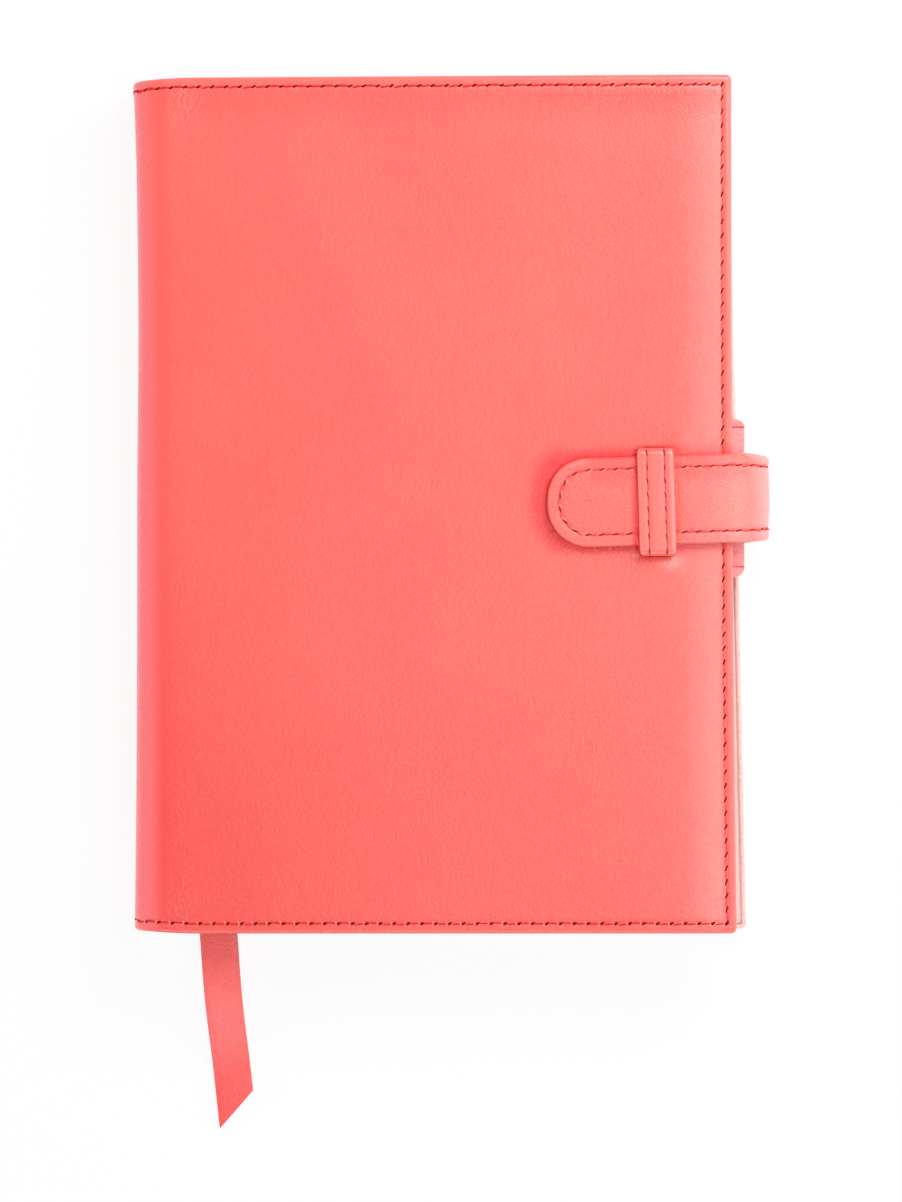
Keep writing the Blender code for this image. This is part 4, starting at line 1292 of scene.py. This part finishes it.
for end, way in (("head", -1), ("tail", 1)):
    curl, y = way * keeper["curl"], cover["slit"][end]
    rings = []
    for s in evenly(-1, 1, 24):
        rings.append(slitRing(y + curl * (s * s + 6 * s**8), keeper["half"] * 1.03 * s, abs(s)))
    keeperPieces.append(makePiece(f"keeper_{end}_slit", *loft(rings), seamHole))
for piece in keeperPieces:
    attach(piece, "front_cover")
print("keeper made")


loopLow, loopHigh = boxOf("pen_loop")
penLoop = {
    "wall": 1.0,
    "seat": 1.8,
    "bend": 3.2,
    "narrow": 0.5,
    "seams": {"head": 20.1, "tail": -15.8},
    "seamUp": 0.38,
    "pitch": 2.4,
    "pull": {"head": 1.5, "tail": 2.4},  # rounding of its free corners
    "pullReach": 3.0,
    # distance and height of the points at a rolled end, and of those across a seam
    "ends": ((0.0, 0.0), (0.04, 0.2), (0.12, 0.33), (0.28, 0.46), (0.5, 0.5)),
    "dip": ((-0.7, 0.5), (-0.3, 0.44), (0.0, 0.36), (0.3, 0.44), (0.7, 0.5)),
}
loopHigh[0] -= penLoop["narrow"]


def loopPath():
    # middle of the loop's wall as a rounded box in XZ, with outward normals
    bend = penLoop["bend"]
    left, right = loopLow[0] + bend, loopHigh[0] - bend
    low, high = loopLow[2] + bend, loopHigh[2] - bend
    spots = []
    for k, (x, z) in enumerate(((right, low), (right, high), (left, high), (left, low))):
        spots += bendSpots((x, z, bend - penLoop["wall"] / 2), 90 * k - 90, 90 * k, 8)
    return spots


def loopRing(x, z, nx, nz):
    # flat strip across Y with rolled ends; its free corners are rounded
    share = min(max(1 - (loopHigh[0] - 0.5 - x) / penLoop["pullReach"], 0.0), 1.0)
    pull = 1 - sqrt(1 - share * share)
    first = loopLow[1] + penLoop["pull"]["tail"] * pull
    last = loopHigh[1] - penLoop["pull"]["head"] * pull
    wall, ends = penLoop["wall"], penLoop["ends"]
    deep = wall + 2 * (penLoop["seat"] - wall) * smooth(-nz, 0.6, 1.0)
    ring = [(first + d, h * wall) for d, h in ends]
    for seam in sorted(penLoop["seams"].values()):
        ring += [(seam + d, h * wall) for d, h in penLoop["dip"]]
    ring += [(last - d, h * wall) for d, h in reversed(ends)]
    ring += [(last - d, -h * deep) for d, h in ends[1:]]
    ring += [(first + d, -h * deep) for d, h in reversed(ends[1:])]
    return [(x + nx * h, y, z + nz * h) for y, h in ring]


loopRings = [loopRing(*spot) for spot in loopPath()]
loopBand = makePiece("pen_loop_leather", *loft(loopRings, True), loopLeather, 60)
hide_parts("pen_loop")
loopPieces = [loopBand]
for end, seam in penLoop["seams"].items():
    up = penLoop["seamUp"]
    line = [((x + nx * up, seam, z + nz * up), (nx, 0.0, nz)) for x, z, nx, nz in loopPath()[6:27]]
    loopPieces += sewSeam(f"pen_loop_{end}_seam", line, penLoop["pitch"], "loop", 13)
for piece in loopPieces:
    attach(piece, "back_cover")
print("pen loop made")


marker = {
    "x": -67.8,
    "head": 104.5,
    "tailEnd": -157.4,
    "edgeOut": -109.9,  # where it leaves the cover
    "half": 4.9,
    "thick": 0.8,
    "slant": 10.0,
    "lean": (0.92, 5.26),
    "ease": 0.6,
    "ledge": 7.0,
    "rest": 0.9,
    # the upper half of its section, in shares of its half width and half thickness
    "section": [
        (-1.0, 0.0), (-0.985, 0.6), (-0.94, 0.95), (-0.5, 1.0), (0.0, 1.02),
        (0.5, 1.0), (0.94, 0.95), (0.985, 0.6), (1.0, 0.0),
    ],
}


def markerSide(run):
    head, tail = (tan(radians(a)) for a in marker["lean"])
    return head * run + (tail - head) / (marker["head"] - marker["edgeOut"]) / 2 * run**2


def markerHeight(y):
    # it falls from the middle of the book to the floor, with a soft wave
    start = marker["edgeOut"] - marker["ledge"]
    end = marker["edgeOut"] + (marker["tailEnd"] - marker["edgeOut"]) * 0.85
    middle = book["thick"] / 2
    out = max(marker["edgeOut"] - y, 0.0)
    wave = 0.25 * sin(out / 9.0) * smooth(out, 4.0, 16.0) * (1 - smooth(out, 30.0, 42.0))
    return middle + (marker["rest"] - middle) * smooth(-y, -start, -end) + wave


def markerRing(y):
    past = max(marker["edgeOut"] - y, 0.0) / (marker["edgeOut"] - marker["tailEnd"])
    top = marker["section"]
    ring = []
    for across, level in top + [(a, -v) for a, v in top[-2:0:-1]]:
        along = y + across * marker["slant"] / 2 * past
        x = marker["x"] + markerSide(marker["head"] - along) + across * marker["half"]
        x += marker["ease"] * smooth(along, -136.0, -108.0)
        ring.append((x, along, markerHeight(along) + level * marker["thick"] / 2))
    return ring


markerRuns = evenly(marker["head"], marker["edgeOut"], 60)
markerRuns += evenly(marker["edgeOut"], marker["tailEnd"], 40)[1:]
markerPoints, markerFaces = loft([markerRing(y) for y in markerRuns])
# painted shade towards the bookmark's end
markerMarks = {"shadeAndTone": [0.28 * smooth(marker["edgeOut"] - y, 29.0, 46.0) for x, y, z in markerPoints]}
markerStrip = makePiece("bookmark_strip", markerPoints, markerFaces, markerLeather, 60, markerMarks)
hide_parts("bookmark")
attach(markerStrip, "bookmark")
print("bookmark made")


def leafGroup():
    board, into = nodeGroup(
        "leafStack",
        Float=["Width", "Height", "Thickness", "Spacing", "Fold", "Uneven"],
        Vector=["Place"],
        Int=["Leaves", "Seed"],
        Material=["Paper"],
    )
    steps = {"Count": into["Leaves"], "Offset": board.vector(Z=into["Spacing"])}
    spots = board.node("GeometryNodeMeshLine", {}, steps)
    size = board.vector(X=1.0, Y=into["Height"], Z=into["Thickness"])
    cube = {"Size": size, "Vertices X": 20, "Vertices Y": 2, "Vertices Z": 2}
    leaf = board.node("GeometryNodeMeshCube", {}, cube)
    where = board.node("GeometryNodeInputPosition")
    outputs = board.node("ShaderNodeSeparateXYZ", {}, {0: where}).socket.node.outputs
    x, y, z = (Wire(board, outputs[axis]) for axis in "XYZ")
    spread = board.vector(X=((x + 0.5) ** 2.6) * into["Width"], Y=y, Z=z)
    leaf = board.node("GeometryNodeSetPosition", {}, {"Geometry": leaf, "Position": spread})
    # the fold is round: outer leaves start further in, and all are trimmed level at the fore edge
    middle = (into["Leaves"] - 1.0) * 0.5
    rise = (board.node("GeometryNodeInputIndex") - middle) * into["Spacing"]
    back = into["Fold"] - (into["Fold"] * into["Fold"] - rise * rise) ** 0.5
    limits = {"Min": (-1, -1, 0), "Max": (0, 1, 0), "Seed": into["Seed"]}
    uneven = board.node("FunctionNodeRandomValue", {"data_type": "FLOAT_VECTOR"}, limits)
    start = board.added(board.scaled(uneven, into["Uneven"]), board.vector(X=back))
    stack = board.node("GeometryNodeInstanceOnPoints", {}, {
        "Points": board.node("GeometryNodeSetPosition", {}, {"Geometry": spots, "Offset": start}),
        "Instance": leaf,
        "Scale": board.vector(X=1.0 - back / into["Width"], Y=1.0, Z=1.0),
    })
    placed = board.node("GeometryNodeTransform", {}, {"Geometry": stack, "Translation": into["Place"]})
    return endGroup(board, placed, into["Paper"])


# bendStart, bendEnd and markedBend give where a section's bend would start and end, nearer the fold under the
# bookmark; nothing is bent by them
leaves = {"count": 8, "gap": 0.012, "uneven": 0.10, "bendStart": 0.2, "bendEnd": 5.5, "markedBend": 0.8}
leafTree = leafGroup()


def makeLeaves(name, node, body, count, paper, seed):
    low, high = boxOf(node)
    deep = (high[2] - low[2]) / count
    piece = growPiece(name, bpy.data.meshes.new(name), leafTree, {
        "Leaves": count,
        "Width": (high[0] - low[0]) * mm,
        "Height": (high[1] - low[1] - 2 * leaves["uneven"]) * mm,
        "Thickness": (deep - leaves["gap"]) * mm,
        "Spacing": deep * mm,
        "Fold": (high[2] - low[2]) / 2 * mm,
        "Uneven": leaves["uneven"] * mm,
        "Seed": seed,
        "Place": inMetres((low[0], 0.0, low[2] + deep / 2)),
        "Paper": paper,
    })
    bend = leaves["markedBend" if body == "leaves_07" else "bendEnd"]
    start, end = (inMetres((low[0] + d, 0, 0)) for d in (leaves["bendStart"], bend))
    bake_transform(piece)
    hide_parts(node)


for number in range(1, 13):
    body = f"leaves_{number:02d}"
    makeLeaves(body + "_stack", f"section_{number:02d}", body, leaves["count"], leafPaper, number)
makeLeaves("front_endpaper_leaf", "front_endpaper", "leaves_01", 1, endPaper, 21)
makeLeaves("back_endpaper_leaf", "back_endpaper", "leaves_12", 1, endPaper, 22)
print("leaves made")


def closedGrid(xs, ys, top, under, notch=None):
    # a sheet between two heights over one grid, without the cells that lie in a notch
    rows, columns = len(xs), len(ys)
    flat = rows * columns
    points = [(x, y, height(x, y)) for height in (top, under) for x in xs for y in ys]

    def kept(i, j):
        if not (0 <= i < rows - 1 and 0 <= j < columns - 1):
            return False
        return not (notch and notch((xs[i] + xs[i + 1]) / 2, (ys[j] + ys[j + 1]) / 2))

    faces = []
    for i, j in [(i, j) for i in range(rows - 1) for j in range(columns - 1) if kept(i, j)]:
        a = i * columns + j
        b, c, d = a + columns, a + columns + 1, a + 1
        faces += [(a, b, c, d), (d + flat, c + flat, b + flat, a + flat)]
        sides = ((a, b, (i, j - 1)), (b, c, (i + 1, j)), (c, d, (i, j + 1)), (d, a, (i - 1, j)))
        for p, q, beside in sides:
            if not kept(*beside):
                faces.append((q, p, p + flat, q + flat))
    used = sorted({k for face in faces for k in face})
    place = {k: n for n, k in enumerate(used)}
    return [points[k] for k in used], [tuple(place[k] for k in face) for face in faces]


layer = {
    "step": 5.0,
    "near": (0, 0.4, 1.2, 2.6, 5.0, 8.0, 12.0),  # closer places along its edges
    "soft": 0.3,
    "fill": 0.5,
    "rootSide": (-9.9, 13.7),
    "rootFrom": 63.9,
    "snug": 0.13,  # up to the turned edge
}


def inRoot(x, y):
    # room for the strap's root in the back cover
    return x > layer["rootFrom"] and layer["rootSide"][0] < y < layer["rootSide"][1]


def makeLayer(name, node, front, finish, soft=0.0, notch=None):
    # one sheet inside a cover, shifted as the soft cover is; soft edges and the crown only on the padding
    low, high = boxOf(node)
    high[0] += layer["snug"]
    step, near = layer["step"], layer["near"]
    xs = [low[0] + step * k for k in range(int((high[0] - low[0]) / step))]
    xs += [high[0] - d for d in near] + [layer["rootFrom"]]
    ys = [step * k for k in range(-21, 22)] + [s * (high[1] - d) for d in near for s in (-1, 1)]
    ys += layer["rootSide"]

    def face(x, y):
        drop = soft * (1 - smooth(min(high[0] - x, high[1] - abs(y)), 0.0, 1.2))
        if front and soft:
            crown = crownDrop(True, book["frontFore"] - x, book["half"] - abs(y))
            return max(high[2] - crown - drop, low[2] + 0.05)
        return high[2] if front else low[2] + drop

    def back(x, y):
        return low[2] if front else high[2]

    points, faces = closedGrid(merged(xs, 0.2), merged(ys, 0.2), face, back, notch)
    piece = makePiece(name, [(*settled(front, x, y), z) for x, y, z in points], faces, finish)
    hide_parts(node)
    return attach(piece, "front_cover" if front else "back_cover")


for side in ("front", "back"):
    front = side == "front"
    notch = None if front else inRoot
    padding = makeLayer(side + "_pad", side + "_padding", front, padFoam, layer["soft"], notch)
    board = makeLayer(side + "_board_sheet", side + "_board", front, greyBoard, notch=notch)
    low, high = boxOf(side + "_lining")
    flat = inMetres((high[0] + layer["snug"] - low[0], high[1] - low[1]))
    lining = makeLayer(side + "_lining_cloth", side + "_lining", front, liningCloth)

pocket = {
    "rim": 1.4,
    "rise": 0.8,
    "step": 0.8,
    "thick": 0.7,
    "seam": 0.8,
    "seamStart": 1.5,
    "pitch": 3.5,
    "spare": (0.5, 1.0),  # what the flat piece has more for the step over the card
    # places from its sewn edges and from its open one, and the spacing between
    "insets": [0, 0.08, 0.2, 0.35, 0.6, 0.8, 1.0, 1.4, 1.55, 1.75, 1.95, 2.2, 3.0, 5.0],
    "hem": [0, 0.1, 0.3, 0.5, 0.8, 1.2, 2.0],
    "spacing": (6.0, 8.0),
}


def makePocket(side):
    # a flap sewn down on three sides, raised over the card, with a rolled hem where the refill slides in
    name, node, body = side + "_pocket_flap", side + "_pocket", side + "_cover"
    low, high = boxOf(node)
    sign, base = (-1, high[2]) if side == "front" else (1, low[2])
    out, rim = pocket["thick"], pocket["rim"]

    def sewnInset(x, y):
        return min(high[0] - x, high[1] - abs(y))

    def lift(x, y):
        near = sewnInset(x, y)
        hem = 0.16 * bellOf(x - low[0] - 0.5, 0.45)
        return pocket["rise"] * smooth(near, rim, rim + pocket["step"]) + hem * smooth(near, rim, rim + 2.0)

    def seen(x, y):
        near = sewnInset(x, y)
        soft = out * 0.45 * (1 - roundOff(min(near, x - low[0]), 0.35))
        return base + sign * (lift(x, y) + out - soft - 0.12 * bellOf(near - pocket["seam"], 0.35))

    def hidden(x, y):
        return base + sign * min(lift(x, y), pocket["rise"])

    insets, (stepX, stepY) = pocket["insets"], pocket["spacing"]
    xs = [high[0] - d for d in insets] + [low[0] + d for d in pocket["hem"]]
    xs += [low[0] + stepX * k for k in range(1, 11)]
    ys = [s * (high[1] - d) for d in insets for s in (-1, 1)] + [low[1] + stepY * k for k in range(1, 27)]
    piece = makePiece(name, *closedGrid(merged(xs), merged(ys), seen, hidden), liningCloth, 60)
    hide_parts(node)
    flat = inMetres(high[k] - low[k] + pocket["spare"][k] for k in (0, 1))
    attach(piece, body)
    x, y = high[0] - pocket["seam"], high[1] - pocket["seam"]
    start, z = low[0] + pocket["seamStart"], base + sign * (out - 0.10)
    corners = [(start, y), (x, y), (x, -y), (start, -y)]
    for edge, (ax, ay), (bx, by) in zip(("head", "fore", "tail"), corners, corners[1:]):
        spots = zip(evenly(ax, bx, 40), evenly(ay, by, 40))
        line = [((*spot, z), (0.0, 0.0, float(sign))) for spot in spots]
        for thread in sewSeam(f"{name}_{edge}_seam", line, pocket["pitch"], "pocket", 17):
            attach(thread, body)


makePocket("front")
makePocket("back")

band = {"Pitch": 0.42 * mm, "Radius": 0.47 * mm, "Thickness": 0.36 * mm, "Thread": bandThread}
bandInset = 0.2


def bandGroup():
    board, into = nodeGroup("woundBand", Float=["Pitch", "Radius", "Thickness"], Material=["Thread"])
    hoop, strand = circleOf(board, 10, into["Radius"]), circleOf(board, 5, into["Thickness"] * 0.5)
    wound = board.node("GeometryNodeInstanceOnPoints", {}, {
        "Points": spotsAlong(board, into),
        "Instance": board.node("GeometryNodeCurveToMesh", {}, {"Curve": hoop, "Profile Curve": strand}),
        "Rotation": (0.14, 0.0, 0.0),
    })
    return endGroup(board, wound, into["Thread"])


bandTree = bandGroup()
for end in ("head", "tail"):
    low, high = boxOf(end + "_band")
    start = bpy.data.meshes.new(end)
    x, y = ((low[k] + high[k]) / 2 for k in (0, 1))
    ends = [inMetres((x, y, z)) for z in (low[2] + bandInset, high[2] - bandInset)]
    start.from_pydata(ends, [(0, 1)], [])
    coil = growPiece(end + "_band_thread", start, bandTree, band)
    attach(coil, "spine")


# CAD pieces whose own shape is right get their finish here
carried = {
    "spine_lining": liningCloth,
    "refill_front_cover": refillCard,
    "refill_back_cover": refillCard,
    "refill_spine": refillCard,
    "mull": mullCloth,
    "head_band": bandThread,
    "tail_band": bandThread,
}
for name, finish in carried.items():
    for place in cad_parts[name].material_slots:
        place.material = finish
print("inside made")
